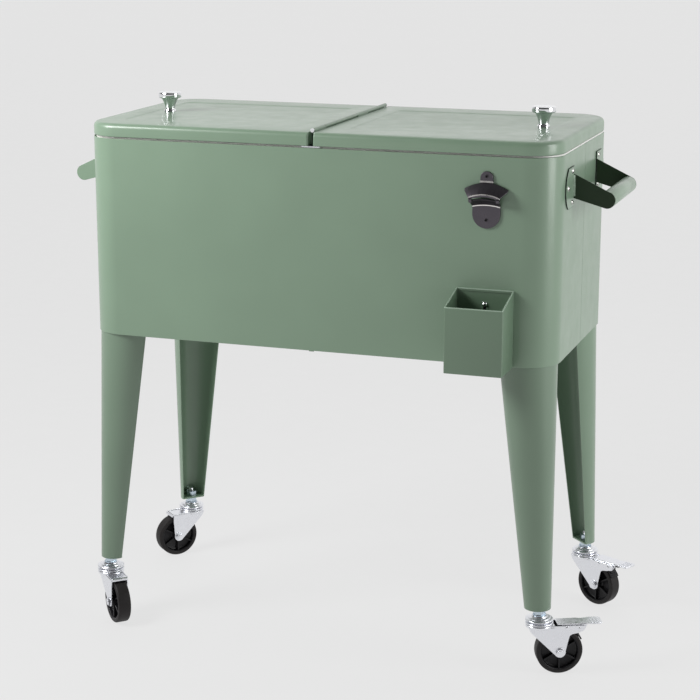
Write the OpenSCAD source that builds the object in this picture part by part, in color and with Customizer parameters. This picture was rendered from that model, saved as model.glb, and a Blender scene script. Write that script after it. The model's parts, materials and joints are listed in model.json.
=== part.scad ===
// Cooler cart: an insulated drinks cooler on four tapered legs with swivel casters.
// Millimetres, +Z up, the floor at z = 0. The origin is on the floor, under the middle of the
// whole cart's box. The front, with the bottle opener, faces -Y.

/* [Cabinet] */
// Length of the cabinet, left to right
body_l = 780; // [700:5:800]
// Depth of the cabinet, front to back
body_d = 386; // [360:2:420]
// Radius of the cabinet's vertical corners
corner_r = 55; // [40:1:70]
// Height of the cabinet's lower edge above the floor
body_z0 = 502; // [480:1:520]
// Height of the cabinet's upper edge above the floor
body_z1 = 824; // [790:1:840]
// Thickness of the cabinet's sheet metal
sheet_t = 1.2; // [0.8:0.1:1.6]

/* [Tub] */
// Length of the tub's cavity
tub_l = 704; // [600:2:710]
// Depth of the tub's cavity
tub_d = 310; // [280:2:316]
// Radius of the cavity's vertical corners
tub_corner = 14; // [10:1:45]
// Thickness of the tub's plastic
tub_t = 3; // [2:0.5:4]
// Height of the tub's floor above the cart's floor
tub_floor_z = 543; // [535:1:560]
// Thickness of the rim that lies on the cabinet's edge
rim_t = 2.5; // [2:0.5:3]

/* [Lids] */
// Height of the lids' flat border above the floor
lid_top_z = 848; // [840:1:852]
// Radius of the lids' rounded top edge
lid_edge_r = 8; // [5:0.5:10]
// Thickness of the lids' sheet metal
lid_t = 1.5; // [1:0.1:2]
// Depth of the pressed panel in each lid
press_depth = 1; // [0.5:0.1:1.5]
// Distance of the pressed panel's inner end from the middle
press_x0 = 42; // [35:1:60]
// Distance of the pressed panel's outer end from the middle
press_x1 = 345; // [330:1:355]
// Depth of the pressed panel, front to back
press_d = 262; // [200:2:300]

/* [Hinge] */
// Height of the hinge pin above the floor
hinge_z = 850; // [848:0.5:854]
// Radius of the hinge knuckles
knuckle_r = 3.25; // [3:0.05:3.4]
// Radius of the hinge pin
pin_r = 1.6; // [1.2:0.1:2]
// Length of the knuckles' row
hinge_l = 362; // [300:2:366]

/* [Knobs] */
// Distance of each knob from the middle
knob_x = 322; // [300:1:330]
// Radius of the knob's disc
knob_r = 19; // [15:0.5:22]
// Height of the knob above the pressed panel
knob_h = 33; // [28:0.5:36]

/* [Handles] */
// Distance of the grip bar's axis from the cabinet's end
grip_reach = 54; // [42:1:60]
// Height of the grip bar's axis above the floor
grip_z = 749.5; // [740:0.5:760]
// Radius of the grip bar
grip_r = 13; // [11:0.5:15]
// Distance between the outer faces of a handle's two arms
arm_span = 172; // [150:2:180]
// Thickness of the grip tube's wall
grip_wall = 1.5; // [1:0.1:2.5]
// Thickness of the handle brackets
bracket_t = 2; // [1.5:0.5:3]

/* [Opener and cap box] */
// Distance of the opener and the cap box from the middle
opener_x = 283; // [270:1:290]
// Height of the opener's lowest point above the floor
opener_z = 715; // [700:1:725]
// Width of the cap box
box_w = 91; // [80:1:95]
// Depth of the cap box
box_d = 68; // [50:0.2:72]
// Height of the cap box's back wall
box_back_h = 120; // [110:1:130]
// Height of the cap box's front wall
box_front_h = 102; // [95:1:105]
// Thickness of the cap box's walls
box_t = 1.2; // [1:0.1:2]
// Height of the screw that the cap box hangs on
hang_z = 598; // [590:1:605]

/* [Legs] */
// Distance of the leg's axis from the middle at the foot, left to right
foot_x = 370; // [360:1:375]
// Distance of the leg's axis from the middle at the foot, front to back
foot_y = 166; // [160:1:170]
// Distance of the leg's axis from the middle at the cabinet, left to right
hip_x = 340.5; // [330:0.5:345]
// Distance of the leg's axis from the middle at the cabinet, front to back
hip_y = 143.5; // [135:0.5:146]
// Radius of the leg at the foot
foot_r = 21.5; // [20:0.5:24]
// Radius of the leg at the cabinet
hip_r = 46; // [40:0.5:46.5]
// Height of the foot plate above the floor
foot_z = 107; // [104:1:110]
// Thickness of the legs' sheet metal
leg_t = 1.6; // [1.2:0.1:2]
// Half of the angle that each leg's sheet wraps round its axis
leg_wrap = 108; // [95:1:120]

/* [Casters] */
// Distance of each caster's stem from the middle, left to right
stem_x = 374.5; // [370:0.5:376]
// Distance of each caster's stem from the middle, front to back
stem_y = 170.5; // [166:0.5:172]
// Radius of the wheels
wheel_r = 37.5; // [37:0.5:38]
// Width of the wheels
wheel_w = 22; // [20:1:22]
// Distance from the swivel axis back to the axle
trail = 32; // [30:1:34]
// Radius of the axle
axle_r = 4; // [3:0.5:4.5]
// Reach of the brake pedal's tip from the swivel axis
pedal_reach = 100; // [90:1:105]

/* [Drain] */
// Distance of the drain from the middle, towards the left
drain_x = 250; // [200:5:280]
// Outer radius of the drain spout's free end
spout_r = 12.5; // [11:0.5:12.5]
// Inner radius of the drain spout
spout_bore = 9.5; // [8:0.5:9.5]

/* [Hidden] */

$fn = 96;
eps = 0.5;          // overshoot of cutting solids
fit_gap = 0.3;      // air between pieces that only lie near each other

// Paint and material colours
sage = [0.44, 0.53, 0.44];
shade = [0.36, 0.45, 0.37];
white = [0.93, 0.93, 0.91];
foam_white = [0.97, 0.97, 0.95];
zinc = [0.78, 0.80, 0.83];
steel = [0.62, 0.62, 0.64];
chrome = [0.85, 0.86, 0.88];
black = [0.08, 0.08, 0.09];

// Corner signs of the four legs: left or right, front or back
FL = [-1, -1];
FR = [1, -1];
BL = [-1, 1];
BR = [1, 1];
CORNERS = [FL, FR, BL, BR];

// Direction in which each caster trails, in degrees from +X
turn_fl = -45;
turn_fr = 25;
turn_bl = 228;
turn_br = -26;

// Caster heights
axle_z = wheel_r;
crown_z0 = 78;
crown_z1 = 83;
crown_r = 22;
race_z0 = 83.5;
race_z1 = 97;
race_r = 22.5;
kingpin_r = 6;
stem_r = 5;
stem_top_z = 124;
cheek_y = 13;       // inner face of each fork cheek
cheek_t = 2;
boss_r = 9;
pedal_half = 14;    // half width of the pedal's tip
pedal_nose = 10;    // half width of its rounded-off end
pedal_z0 = 82.5;
pivot_x = 42;
pivot_z = 78;
pivot_r = 2.5;
flap_rivet = [62, 76];

// Whole-cart box: the brake pedal reaches furthest right and the cap box furthest forward
half_l = body_l / 2;
half_d = body_d / 2;
grip_end_r = grip_r + 1;
left_reach = half_l + grip_reach + grip_end_r;
right_reach = stem_x + pedal_reach * cos(turn_fr) + pedal_nose * sin(turn_fr);
box_gap = 0.4;
front_reach = half_d + box_gap + box_d;
back_reach = half_d;
body_x = (left_reach - right_reach) / 2;
body_y = (front_reach - back_reach) / 2;

lid_z0 = body_z1 + rim_t + fit_gap + 0.2;
lid_split = 4.1;    // distance of each lid's inner skirt from the middle
leaf_t = 1.5;
leaf_top_z = hinge_z - 2.7;
knuckle_n = 7;
knuckle_pitch = hinge_l / knuckle_n;
knuckle_gap = 0.4;
run_gap = 0.05;     // radial running clearance of pins and axles
CENTRE_KNUCKLES = [1, 3, 5];
LEFT_KNUCKLES = [2, 6];
RIGHT_KNUCKLES = [0, 4];
bar_half_w = 15;
bar_z0 = 806;
bar_t = 2;
bar_z1 = body_z1 + rim_t;
leaf_foot_y = 145;
leaf_foot_w = 12;
leaf_screw_x = 8;
LEAF_SCREW_Y = [-120, -40, 40, 120];

base_z0 = 514;
base_z1 = 516;
bolt_ring = 30;     // distance of the leg bolts from the leg's middle
foam_slip = 3;      // slip space between the wrap and the foam
panel_z = lid_top_z - press_depth;
flange_z = 769;     // middle of the handle flanges
flange_r = 36;
flange_half_h = 31;
HANDLE_SCREWS = [[10, 25], [38, 1.5], [10, -23.5]];
arm_top_z = 788.5;
arm_bottom_z = 750.5;
opener_r = 21.75;   // radius of the opener's lower end
opener_screw_low = 13;
opener_screw_high = 79.5;
spout_z0 = 474;
spout_shoulder_z = 500;

// Point where a line from p touches the circle of radius r round c, on side s
function touch(p, c, r, s) =
    let (d = norm(p - c), a = atan2(p.y - c.y, p.x - c.x) + s * acos(r / d))
    c + r * [cos(a), sin(a)];

// ---------------------------------------------------------------- helpers

module at_body() translate([body_x, body_y, 0]) children();

// Rectangle with round corners, centred
module round_rect(l, d, r) {
    square([l - 2 * r, d], center = true);
    square([l, d - 2 * r], center = true);
    for (x = [-1, 1], y = [-1, 1]) translate([x * (l / 2 - r), y * (d / 2 - r)]) circle(r);
}

// Upright slab with the cabinet's outline drawn in by inset
module body_slab(inset, z0, z1)
    translate([0, 0, z0]) linear_extrude(z1 - z0)
        round_rect(body_l - 2 * inset, body_d - 2 * inset, corner_r - inset);

// The same slab with its top edge rounded
module rounded_slab(inset, z0, z1, edge) {
    r = corner_r - inset;
    hull() for (x = [-1, 1], y = [-1, 1])
        translate([x * (half_l - corner_r), y * (half_d - corner_r), z0])
            rotate_extrude($fn = 64) {
                square([r, z1 - z0 - edge]);
                square([r - edge, z1 - z0]);
                translate([r - edge, z1 - z0 - edge]) circle(edge, $fn = 32);
            }
}

// Half space to the right of x, from z0 to z1
module right_of(x, z0, z1)
    translate([x, -body_d, z0]) cube([body_l, 2 * body_d, z1 - z0]);

// Domed screw along +Z with a cross recess: the head's base is at z = 0, the shank below it
module dome_screw(head_r, head_h, shank_r, shank_l) {
    ball = (head_r * head_r + head_h * head_h) / (2 * head_h);
    difference() {
        union() {
            intersection() {
                translate([0, 0, head_h - ball]) sphere(ball);
                cylinder(h = head_h, r = head_r + 1);
            }
            translate([0, 0, -shank_l]) cylinder(h = shank_l + 0.2, r = shank_r);
        }
        for (a = [0, 90]) rotate(a)
            translate([-head_r * 0.55, -0.45, head_h - 1]) cube([head_r * 1.1, 0.9, 2]);
    }
}

module hex(across, h) cylinder(h = h, r = across / sqrt(3), $fn = 6);

// ---------------------------------------------------------------- cabinet

module front_hole(x, z, r) translate([x, -half_d + 5, z]) rotate([90, 0, 0]) cylinder(h = 10, r = r);

module handle_holes(side, r)
    for (s = [-1, 1], p = HANDLE_SCREWS)
        translate([side * (half_l - 8), s * (arm_span / 2 + p.x), flange_z + p.y])
            rotate([0, 90, 0]) translate([0, 0, -8]) cylinder(h = 24, r = r);

module body_shell() color(sage) at_body() difference() {
    body_slab(0, body_z0, body_z1);
    body_slab(sheet_t, body_z0 - eps, body_z1 + eps);
    // Seam of the wrapped sheet, at the right-hand end
    translate([half_l - sheet_t / 2, 3, body_z0 - eps]) cube([sheet_t, 0.8, body_z1 - body_z0 + 2 * eps]);
    front_hole(opener_x, opener_z + opener_screw_low, 2.4);
    front_hole(opener_x, opener_z + opener_screw_high, 2.4);
    front_hole(opener_x, hang_z, 2.2);
    handle_holes(1, 2.4);
    handle_holes(-1, 2.4);
}

module leg_bolt_places()
    for (c = CORNERS, a = [45, 165, 285])
        translate([c.x * (hip_x - 1 + bolt_ring * cos(a)), c.y * (hip_y - 1 + bolt_ring * sin(a)), 0])
            children();

module base_panel() color(sage) at_body() difference() {
    union() {
        body_slab(sheet_t + 0.1, 504, base_z1);
        // Locating tab in the middle of the front flange
        translate([-4, -half_d + sheet_t + 0.1, 500.6]) cube([8, 1.5, 6]);
    }
    body_slab(sheet_t + 1.6, 503, base_z0);
    // The flange is notched for the legs
    for (c = CORNERS) translate([c.x * (hip_x - 0.5), c.y * (hip_y - 0.5), 500])
        cylinder(h = base_z0 - 500, r = hip_r + 1.5);
    leg_bolt_places() cylinder(h = 600, r = 3.2);
    translate([-drain_x, 0, 0]) cylinder(h = 600, r = 13.3);
}

module tub_liner() color(white) at_body() difference() {
    union() {
        translate([0, 0, tub_floor_z - tub_t]) linear_extrude(body_z1 - tub_floor_z + tub_t)
            round_rect(tub_l + 2 * tub_t, tub_d + 2 * tub_t, tub_corner + tub_t);
        body_slab(1, body_z1, body_z1 + rim_t);
    }
    translate([0, 0, tub_floor_z]) linear_extrude(400) round_rect(tub_l, tub_d, tub_corner);
    // The cross bar lies in a notch of the rim
    translate([-bar_half_w - fit_gap, -half_d, body_z1])
        cube([2 * (bar_half_w + fit_gap), body_d, rim_t + 1]);
    translate([-drain_x, 0, 500]) cylinder(h = 60, r = 13.2);
}

module insulation() color(foam_white) at_body() difference() {
    body_slab(sheet_t + foam_slip, base_z1 + 0.5, body_z1 - 0.5);
    translate([0, 0, tub_floor_z - tub_t - fit_gap]) linear_extrude(400)
        round_rect(tub_l + 2 * tub_t + 0.6, tub_d + 2 * tub_t + 0.6, tub_corner + tub_t + 0.3);
    translate([-drain_x, 0, 500]) cylinder(h = 60, r = 14.5);
}

module centre_bar() color(steel) at_body() difference() {
    union() {
        translate([-bar_half_w, -half_d + 2, bar_z1 - bar_t]) cube([2 * bar_half_w, body_d - 4, bar_t]);
        for (x = [-bar_half_w, bar_half_w - bar_t])
            translate([x, -tub_d / 2 + fit_gap, bar_z0]) cube([bar_t, tub_d - 2 * fit_gap, bar_z1 - bar_z0]);
    }
    translate([-1, -leaf_foot_y - 1, bar_z1 - 5]) cube([2, 2 * leaf_foot_y + 2, 10]);
    for (x = [-leaf_screw_x, leaf_screw_x], y = LEAF_SCREW_Y)
        translate([x, y, bar_z0]) cylinder(h = 40, r = 2.1);
}

// ---------------------------------------------------------------- hinge

// The knuckles numbered in list, without their bore
module knuckles(list)
    for (i = list)
        translate([0, -hinge_l / 2 + i * knuckle_pitch + knuckle_gap / 2, hinge_z]) rotate([-90, 0, 0])
            cylinder(h = knuckle_pitch - knuckle_gap, r = knuckle_r);

// A box in each listed knuckle's stretch, from x0 to x1 and z0 to z1
module knuckle_webs(list, x0, x1, z0, z1)
    for (i = list)
        translate([x0, -hinge_l / 2 + i * knuckle_pitch + knuckle_gap / 2, z0])
            cube([x1 - x0, knuckle_pitch - knuckle_gap, z1 - z0]);

module pin_bore() translate([0, -hinge_l, hinge_z]) rotate([-90, 0, 0])
    cylinder(h = 2 * hinge_l, r = pin_r + run_gap);

module hinge_centre_leaf() color(sage) at_body() difference() {
    union() {
        knuckles(CENTRE_KNUCKLES);
        knuckle_webs(CENTRE_KNUCKLES, -leaf_t / 2, leaf_t / 2, hinge_z - 5, hinge_z - 2);
        translate([-leaf_t / 2, -hinge_l / 2 + 3, bar_z1 + fit_gap])
            cube([leaf_t, hinge_l - 6, hinge_z - knuckle_r - 0.5 - bar_z1 - fit_gap]);
        translate([-leaf_t / 2, -leaf_foot_y, bar_z1 - bar_t - 1]) cube([leaf_t, 2 * leaf_foot_y, 6]);
        translate([-leaf_foot_w, -leaf_foot_y, bar_z1 - bar_t - leaf_t])
            cube([2 * leaf_foot_w, 2 * leaf_foot_y, leaf_t]);
    }
    pin_bore();
    for (x = [-leaf_screw_x, leaf_screw_x], y = LEAF_SCREW_Y)
        translate([x, y, bar_z0]) cylinder(h = 30, r = 2.1);
}

module hinge_pin() color(chrome) at_body() translate([0, 0, hinge_z]) rotate([-90, 0, 0]) {
    translate([0, 0, -hinge_l / 2 - 2]) cylinder(h = hinge_l + 4, r = pin_r);
    for (z = [-hinge_l / 2 - 2, hinge_l / 2 + 0.3])
        translate([0, 0, z]) cylinder(h = 1.7, r = knuckle_r - 0.05);
}

module hinge_screws() color(zinc) at_body()
    for (x = [-leaf_screw_x, leaf_screw_x], y = LEAF_SCREW_Y)
        translate([x, y, bar_z1 - bar_t - leaf_t]) rotate([180, 0, 0]) dome_screw(3.9, 2.2, 2, 3.2);

// Lid leaf on the right: a plate on the lid's inner skirt, and its knuckles
module lid_leaf(list) color(sage) difference() {
    union() {
        knuckles(list);
        knuckle_webs(list, lid_split - 1.9, lid_split, leaf_top_z - 1, hinge_z);
        translate([lid_split - leaf_t, -hinge_l / 2 + 3, lid_z0 + 1])
            cube([leaf_t, hinge_l - 6, leaf_top_z - lid_z0 - 1]);
    }
    pin_bore();
}

// ---------------------------------------------------------------- lids

module lid_shell() color(sage) difference() {
    intersection() {
        rounded_slab(0.3, lid_z0, lid_top_z, lid_edge_r);
        right_of(lid_split, 0, 1000);
    }
    // Cavity, less the metal under the pressed panel
    difference() {
        intersection() {
            rounded_slab(0.3 + lid_t, lid_z0 - 1, lid_top_z - lid_t, lid_edge_r - lid_t);
            right_of(lid_split + lid_t, 0, 1000);
        }
        press(press_x0 - lid_t, press_x1 + lid_t, press_d + 2 * lid_t, panel_z - lid_t, lid_top_z);
    }
    press(press_x0, press_x1, press_d, panel_z, lid_top_z + 1);
    translate([knob_x, 0, 800]) cylinder(h = 100, r = 2.6);
}

// Plate with the pressed panel's outline
module press(x0, x1, d, z0, z1)
    translate([(x0 + x1) / 2, 0, z0]) linear_extrude(z1 - z0) round_rect(x1 - x0, d, 10);

module lid_panel() color(white) intersection() {
    body_slab(lid_t + 0.8, lid_z0 + 0.6, lid_z0 + 2.6);
    right_of(lid_split + lid_t + fit_gap, 0, 1000);
}

module lid_foam() color(foam_white) difference() {
    intersection() {
        body_slab(6, lid_z0 + 2.8, panel_z - lid_t - 0.7);
        right_of(lid_split + 4, 0, 1000);
    }
    translate([knob_x, 0, panel_z - 8]) cylinder(h = 20, r = 7);
}

// Knob: a disc on a waisted neck, hollow for its screw
module knob() color(chrome) translate([knob_x, 0, panel_z]) difference() {
    rotate_extrude() {
        difference() {
            square([14, knob_h - 9]);
            // The waist's curve
            translate([8.5 + 29, 5]) circle(29);
        }
        square([8.5, 6]);
        translate([0, knob_h - 10]) square([knob_r - 1, 10]);
        translate([0, knob_h - 9]) square([knob_r, 8]);
    }
    translate([0, 0, -1]) cylinder(h = 14, r = 2.1);
}

module knob_screw() color(zinc)
    translate([knob_x, 0, panel_z - lid_t]) rotate([180, 0, 0]) dome_screw(4.5, 2.8, 2, 10);

// ---------------------------------------------------------------- handles

// Bracket at the right-hand end: an arm along the cart's length and a flange on the cabinet
module bracket() {
    arm_y = arm_span / 2 - bracket_t;
    grip = [half_l + grip_reach, grip_z];
    root_top = [half_l, arm_top_z];
    root_low = [half_l, arm_bottom_z];
    translate([0, arm_y + bracket_t, 0]) rotate([90, 0, 0]) linear_extrude(bracket_t) {
        polygon([root_low, touch(root_low, grip, grip_end_r - 0.05, 1), grip,
            touch(root_top, grip, grip_end_r - 0.05, -1), root_top]);
        translate(grip) circle(grip_end_r);
    }
    difference() {
        translate([half_l, arm_y, flange_z]) rotate([90, 0, 90]) linear_extrude(bracket_t) intersection() {
            translate([18, 0]) circle(flange_r);
            translate([0, -flange_half_h]) square([60, 2 * flange_half_h]);
        }
        handle_holes(1, 2.4);
    }
}

module handle_brackets() color(sage) {
    bracket();
    mirror([0, 1, 0]) bracket();
}

// Grip: a tube between the two arms
module grip_bar() color(sage)
    translate([half_l + grip_reach, -arm_span / 2 + bracket_t, grip_z]) rotate([-90, 0, 0]) difference() {
        cylinder(h = arm_span - 2 * bracket_t, r = grip_r);
        translate([0, 0, -1]) cylinder(h = arm_span, r = grip_r - grip_wall);
    }

module handle_screws() color(steel) at_body()
    for (side = [0, 1], s = [-1, 1], p = HANDLE_SCREWS)
        mirror([side, 0, 0])
            translate([half_l + bracket_t, s * (arm_span / 2 + p.x), flange_z + p.y])
                rotate([0, 90, 0]) dome_screw(4.3, 2.4, 2.2, 5.2);

// ---------------------------------------------------------------- bottle opener

// Drawn from the front: x across, y up from the opener's lowest point, z out from the wall
module opener_plate_outline() {
    translate([0, opener_r]) circle(opener_r);
    translate([-opener_r, opener_r]) square([2 * opener_r, 14]);
    translate([0, 77]) circle(10);
    translate([-10, 66]) square([20, 11]);
}

// Arched above and below, and narrower at the lip than at the wall
module opener_hood_outline() intersection() {
    difference() {
        translate([0, 22]) circle(51);
        translate([0, -31]) circle(80);
    }
    polygon([[-35, 74], [35, 74], [35, 61], [24.5, 44], [-24.5, 44], [-35, 61]]);
}

// Sheet with a side view that is drawn as [height, distance from the wall]
module opener_fold(half_w, side_view)
    rotate([90, 0, 90]) translate([0, 0, -half_w]) linear_extrude(2 * half_w) polygon(side_view);

module bottle_opener() color(steel) at_body() translate([opener_x, -half_d, opener_z]) rotate([90, 0, 0])
    difference() {
        union() {
            linear_extrude(3) opener_plate_outline();
            // The hood slopes out and down from the wall to its lip
            intersection() {
                linear_extrude(30) opener_hood_outline();
                opener_fold(40, [[73, 0], [73, 3], [55, 22], [46, 22], [46, 19], [53, 19], [67, 3], [67, 0]]);
            }
            // Below the lip the sheet runs back to the wall
            opener_fold(opener_r, [[51, 19], [51, 22], [47, 22], [35.5, 3], [35.5, 0]]);
        }
        // Slot behind the lip
        translate([-17.5, 44.5, -1]) cube([35, 5.5, 20]);
        for (y = [opener_screw_low, opener_screw_high]) translate([0, y, -1]) cylinder(h = 5, r = 2.4);
    }

module opener_screws() color(steel) at_body()
    for (z = [opener_screw_low, opener_screw_high])
        translate([opener_x, -half_d - 3, opener_z + z]) rotate([90, 0, 0]) dome_screw(4.6, 2.6, 2.2, 6);

// ---------------------------------------------------------------- cap box

module cap_box() color(sage) at_body()
    translate([opener_x - box_w / 2, -half_d - box_gap, body_z0]) difference() {
        box_side(0, box_w, 0, 0);
        box_side(box_t, box_w - box_t, box_t, 60);
        // Keyhole: the hanging slot, and below it the hole that the screw's head passes
        translate([box_w / 2, 1, hang_z - body_z0]) rotate([90, 0, 0]) cylinder(h = 4, r = 2.3);
        translate([box_w / 2 - 2.3, -3, hang_z - body_z0 - 12]) cube([4.6, 4, 12]);
        translate([box_w / 2, 1, hang_z - body_z0 - 12]) rotate([90, 0, 0]) cylinder(h = 4, r = 5);
    }

// The box's side view, drawn in by t and raised by up, from x0 to x1
module box_side(x0, x1, t, up)
    translate([x0, 0, 0]) rotate([90, 0, 90]) linear_extrude(x1 - x0)
        polygon([[-t, t], [-box_d + t, t], [-box_d + t, box_front_h + up], [-t, box_back_h + up]]);

module cap_box_screw() color(zinc) at_body()
    translate([opener_x, -half_d - 2.4, hang_z]) rotate([90, 0, 0]) dome_screw(4.2, 2.8, 2, 6);

// ---------------------------------------------------------------- legs

leg_rise = body_z0 - foot_z;
leg_lean_x = hip_x - foot_x;
leg_lean_y = hip_y - foot_y;
leg_lean = norm([leg_lean_x, leg_lean_y]);
leg_axis_l = norm([leg_lean, leg_rise]);
leg_flare = (hip_r - foot_r) / leg_axis_l;
leg_tail = 12;      // length of the cone beyond each end, before it is trimmed
plate_t = 3;        // thickness of the plates that close a leg's two ends
foot_chord = 7.5;   // where the two plates are cut off, from the leg's middle
hip_chord = 26;

// Centre and radius of the leg at height z
function leg_centre(z) = [foot_x, foot_y] + [leg_lean_x, leg_lean_y] * (z - foot_z) / leg_rise;
function leg_radius(z) = foot_r + (hip_r - foot_r) * (z - foot_z) / leg_rise;

// Puts its children on the back right leg's axis, with z along it from the foot
module on_leg_axis()
    translate([foot_x, foot_y, foot_z])
        rotate([0, atan2(leg_lean, leg_rise), atan2(leg_lean_y, leg_lean_x)]) children();

module leg_cone(t) on_leg_axis() translate([0, 0, -leg_tail])
    cylinder(h = leg_axis_l + 3 * leg_tail, r1 = foot_r - t - leg_flare * leg_tail,
        r2 = hip_r - t + 2 * leg_flare * leg_tail);

// The part of the cone between two heights
module leg_slice(t, z0, z1) intersection() {
    leg_cone(t);
    translate([foot_x - 120, foot_y - 120, z0]) cube([200, 200, z1 - z0]);
}

// Disc at height z, cut off at distance chord from its middle on the side that faces the cart's middle
module leg_plate(z, chord) {
    r = leg_radius(z + plate_t / 2) - leg_t / 2;
    translate([leg_centre(z + plate_t / 2).x, leg_centre(z + plate_t / 2).y, z]) difference() {
        cylinder(h = plate_t, r = r);
        rotate(225) translate([chord, -r - 1, -1]) cube([r, 2 * r + 2, plate_t + 2]);
    }
}

module leg() color(sage) difference() {
    union() {
        difference() {
            leg_slice(0, foot_z, base_z0);
            leg_cone(leg_t);
            // The side that faces the middle of the cart is open
            on_leg_axis() rotate(225 - atan2(leg_lean_y, leg_lean_x)) translate([0, 0, -30])
                linear_extrude(leg_axis_l + 80)
                    polygon([[0, 0], [200 * cos(180 - leg_wrap), -200 * sin(180 - leg_wrap)],
                        [300, -190], [300, 190], [200 * cos(180 - leg_wrap), 200 * sin(180 - leg_wrap)]]);
        }
        leg_plate(foot_z, foot_chord);
        leg_plate(base_z0 - plate_t, hip_chord);
    }
    translate([stem_x, stem_y, 0]) cylinder(h = 200, r = stem_r + 0.3);
    leg_bolt_places() translate([0, 0, 500]) cylinder(h = 30, r = 3.2);
}

module leg_at(c) at_body() mirror([c.x < 0 ? 1 : 0, 0, 0]) mirror([0, c.y < 0 ? 1 : 0, 0]) leg();

module leg_bolts() color(zinc) at_body() leg_bolt_places() {
    translate([0, 0, base_z0 - plate_t - 4.5]) hex(10, 4.5);
    translate([0, 0, base_z0 - plate_t - 0.2]) cylinder(h = plate_t + 2.2, r = 3);
}

// ---------------------------------------------------------------- drain

module drain_spout() color(white) at_body() translate([-drain_x, 0, 0]) difference() {
    union() {
        translate([0, 0, tub_floor_z]) cylinder(h = 2, r = 20);
        translate([0, 0, spout_shoulder_z]) cylinder(h = tub_floor_z - spout_shoulder_z + 1, r = 13);
        translate([0, 0, spout_z0]) cylinder(h = spout_shoulder_z - spout_z0 + 1, r = spout_r);
    }
    cylinder(h = 600, r = spout_bore);
}

module drain_nut() color(white) at_body() translate([-drain_x, 0, 506]) difference() {
    hex(34, base_z0 - 506);
    translate([0, 0, -1]) cylinder(h = 20, r = 13.1);
}

module drain_plug() color(black) at_body() translate([-drain_x, 0, 0]) {
    translate([0, 0, spout_z0 - 4.3]) cylinder(h = 4, r = spout_r - 0.5);
    translate([0, 0, spout_z0 - 1]) cylinder(h = 17, r = spout_bore - run_gap);
}

// ---------------------------------------------------------------- casters

// Puts its children on a caster's swivel axis, with +X along its trail
module on_swivel(c, turn) at_body() translate([c.x * stem_x, c.y * stem_y, 0]) rotate(turn) children();

module stem_nuts() color(zinc) at_body()
    for (c = CORNERS) translate([c.x * stem_x, c.y * stem_y, 0]) difference() {
        union() {
            translate([0, 0, race_z1]) cylinder(h = 1.5, r = 10.5);
            translate([0, 0, race_z1 + 1.5]) hex(17, foot_z - race_z1 - 1.5);
            translate([0, 0, foot_z + plate_t]) hex(17, 8);
        }
        cylinder(h = 200, r = stem_r + 0.1);
    }

// Raceway with its threaded stem above and kingpin below
module caster_mount() color(zinc) {
    rotate_extrude() polygon([[0, race_z0], [race_r - 1, race_z0], [race_r, race_z0 + 1], [race_r, race_z0 + 3],
        [race_r - 2, race_z0 + 4], [race_r - 2, race_z0 + 5.5],
        [race_r, race_z0 + 6.5], [race_r, race_z0 + 8.5],
        [race_r - 2, race_z0 + 10.5], [14, race_z1 - 1], [12, race_z1], [0, race_z1]]);
    translate([0, 0, race_z1 - 1]) cylinder(h = stem_top_z - race_z1 + 1, r = stem_r);
    translate([0, 0, 75.7]) cylinder(h = race_z0 - 75, r = kingpin_r);
    translate([0, 0, 75.7]) cylinder(h = 1.8, r = 9);
}

// Side view of a fork cheek: x along the trail, y up
module cheek_outline(braked) {
    axle = [trail, axle_z];
    front = [-19, crown_z1 - 2];
    rear = [trail + 3, crown_z0];
    polygon([front, touch(front, axle, boss_r - 0.05, 1), axle, touch(rear, axle, boss_r - 0.05, -1),
        rear, [trail + 3, crown_z1 - 2]]);
    translate(axle) circle(boss_r);
    if (braked) {
        polygon([[trail - 4, crown_z1 - 2], [68, crown_z1 - 2], [72, 77], [69, 73], [60, 69], [51, 67.5],
            [46, 62], [trail + 3, 56]]);
    }
}

module fork(braked) color(zinc) difference() {
    union() {
        translate([0, 0, crown_z0]) cylinder(h = crown_z1 - crown_z0, r = crown_r);
        translate([0, -cheek_y - cheek_t, crown_z0]) cube([braked ? 24 : 42, 2 * (cheek_y + cheek_t), 2.5]);
        for (y = [-cheek_y, cheek_y + cheek_t])
            translate([0, y, 0]) rotate([90, 0, 0]) linear_extrude(cheek_t) cheek_outline(braked);
    }
    cylinder(h = 200, r = kingpin_r + run_gap);
    translate([trail, 30, axle_z]) rotate([90, 0, 0]) cylinder(h = 60, r = axle_r + 0.1);
    if (braked) for (p = [[pivot_x, pivot_z], flap_rivet])
        translate([p.x, 30, p.y]) rotate([90, 0, 0]) cylinder(h = 60, r = pivot_r + 0.02);
}

// Axle bolt with its nut; a braked fork's rivets are further solids of the same node
module axle(braked) color(zinc) {
    translate([trail, 0, axle_z]) rotate([90, 0, 0]) {
        translate([0, 0, -cheek_y - cheek_t - 4]) cylinder(h = 2 * (cheek_y + cheek_t) + 8, r = axle_r);
        for (z = [-cheek_y - cheek_t - 4, cheek_y + cheek_t]) translate([0, 0, z]) hex(12, 4);
    }
    if (braked) translate([pivot_x, 0, pivot_z]) rotate([90, 0, 0]) {
        translate([0, 0, -cheek_y - cheek_t - 1]) cylinder(h = 2 * (cheek_y + cheek_t) + 2, r = pivot_r);
        for (z = [-cheek_y - cheek_t - 1, cheek_y + cheek_t]) translate([0, 0, z]) cylinder(h = 1, r = 4);
    }
    if (braked) for (s = [0, 1]) mirror([0, s, 0]) translate([flap_rivet.x, cheek_y, flap_rivet.y])
        rotate([-90, 0, 0]) {
            cylinder(h = cheek_t + 0.5, r = pivot_r);
            translate([0, 0, cheek_t]) cylinder(h = 1, r = 4);
        }
}

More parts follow.
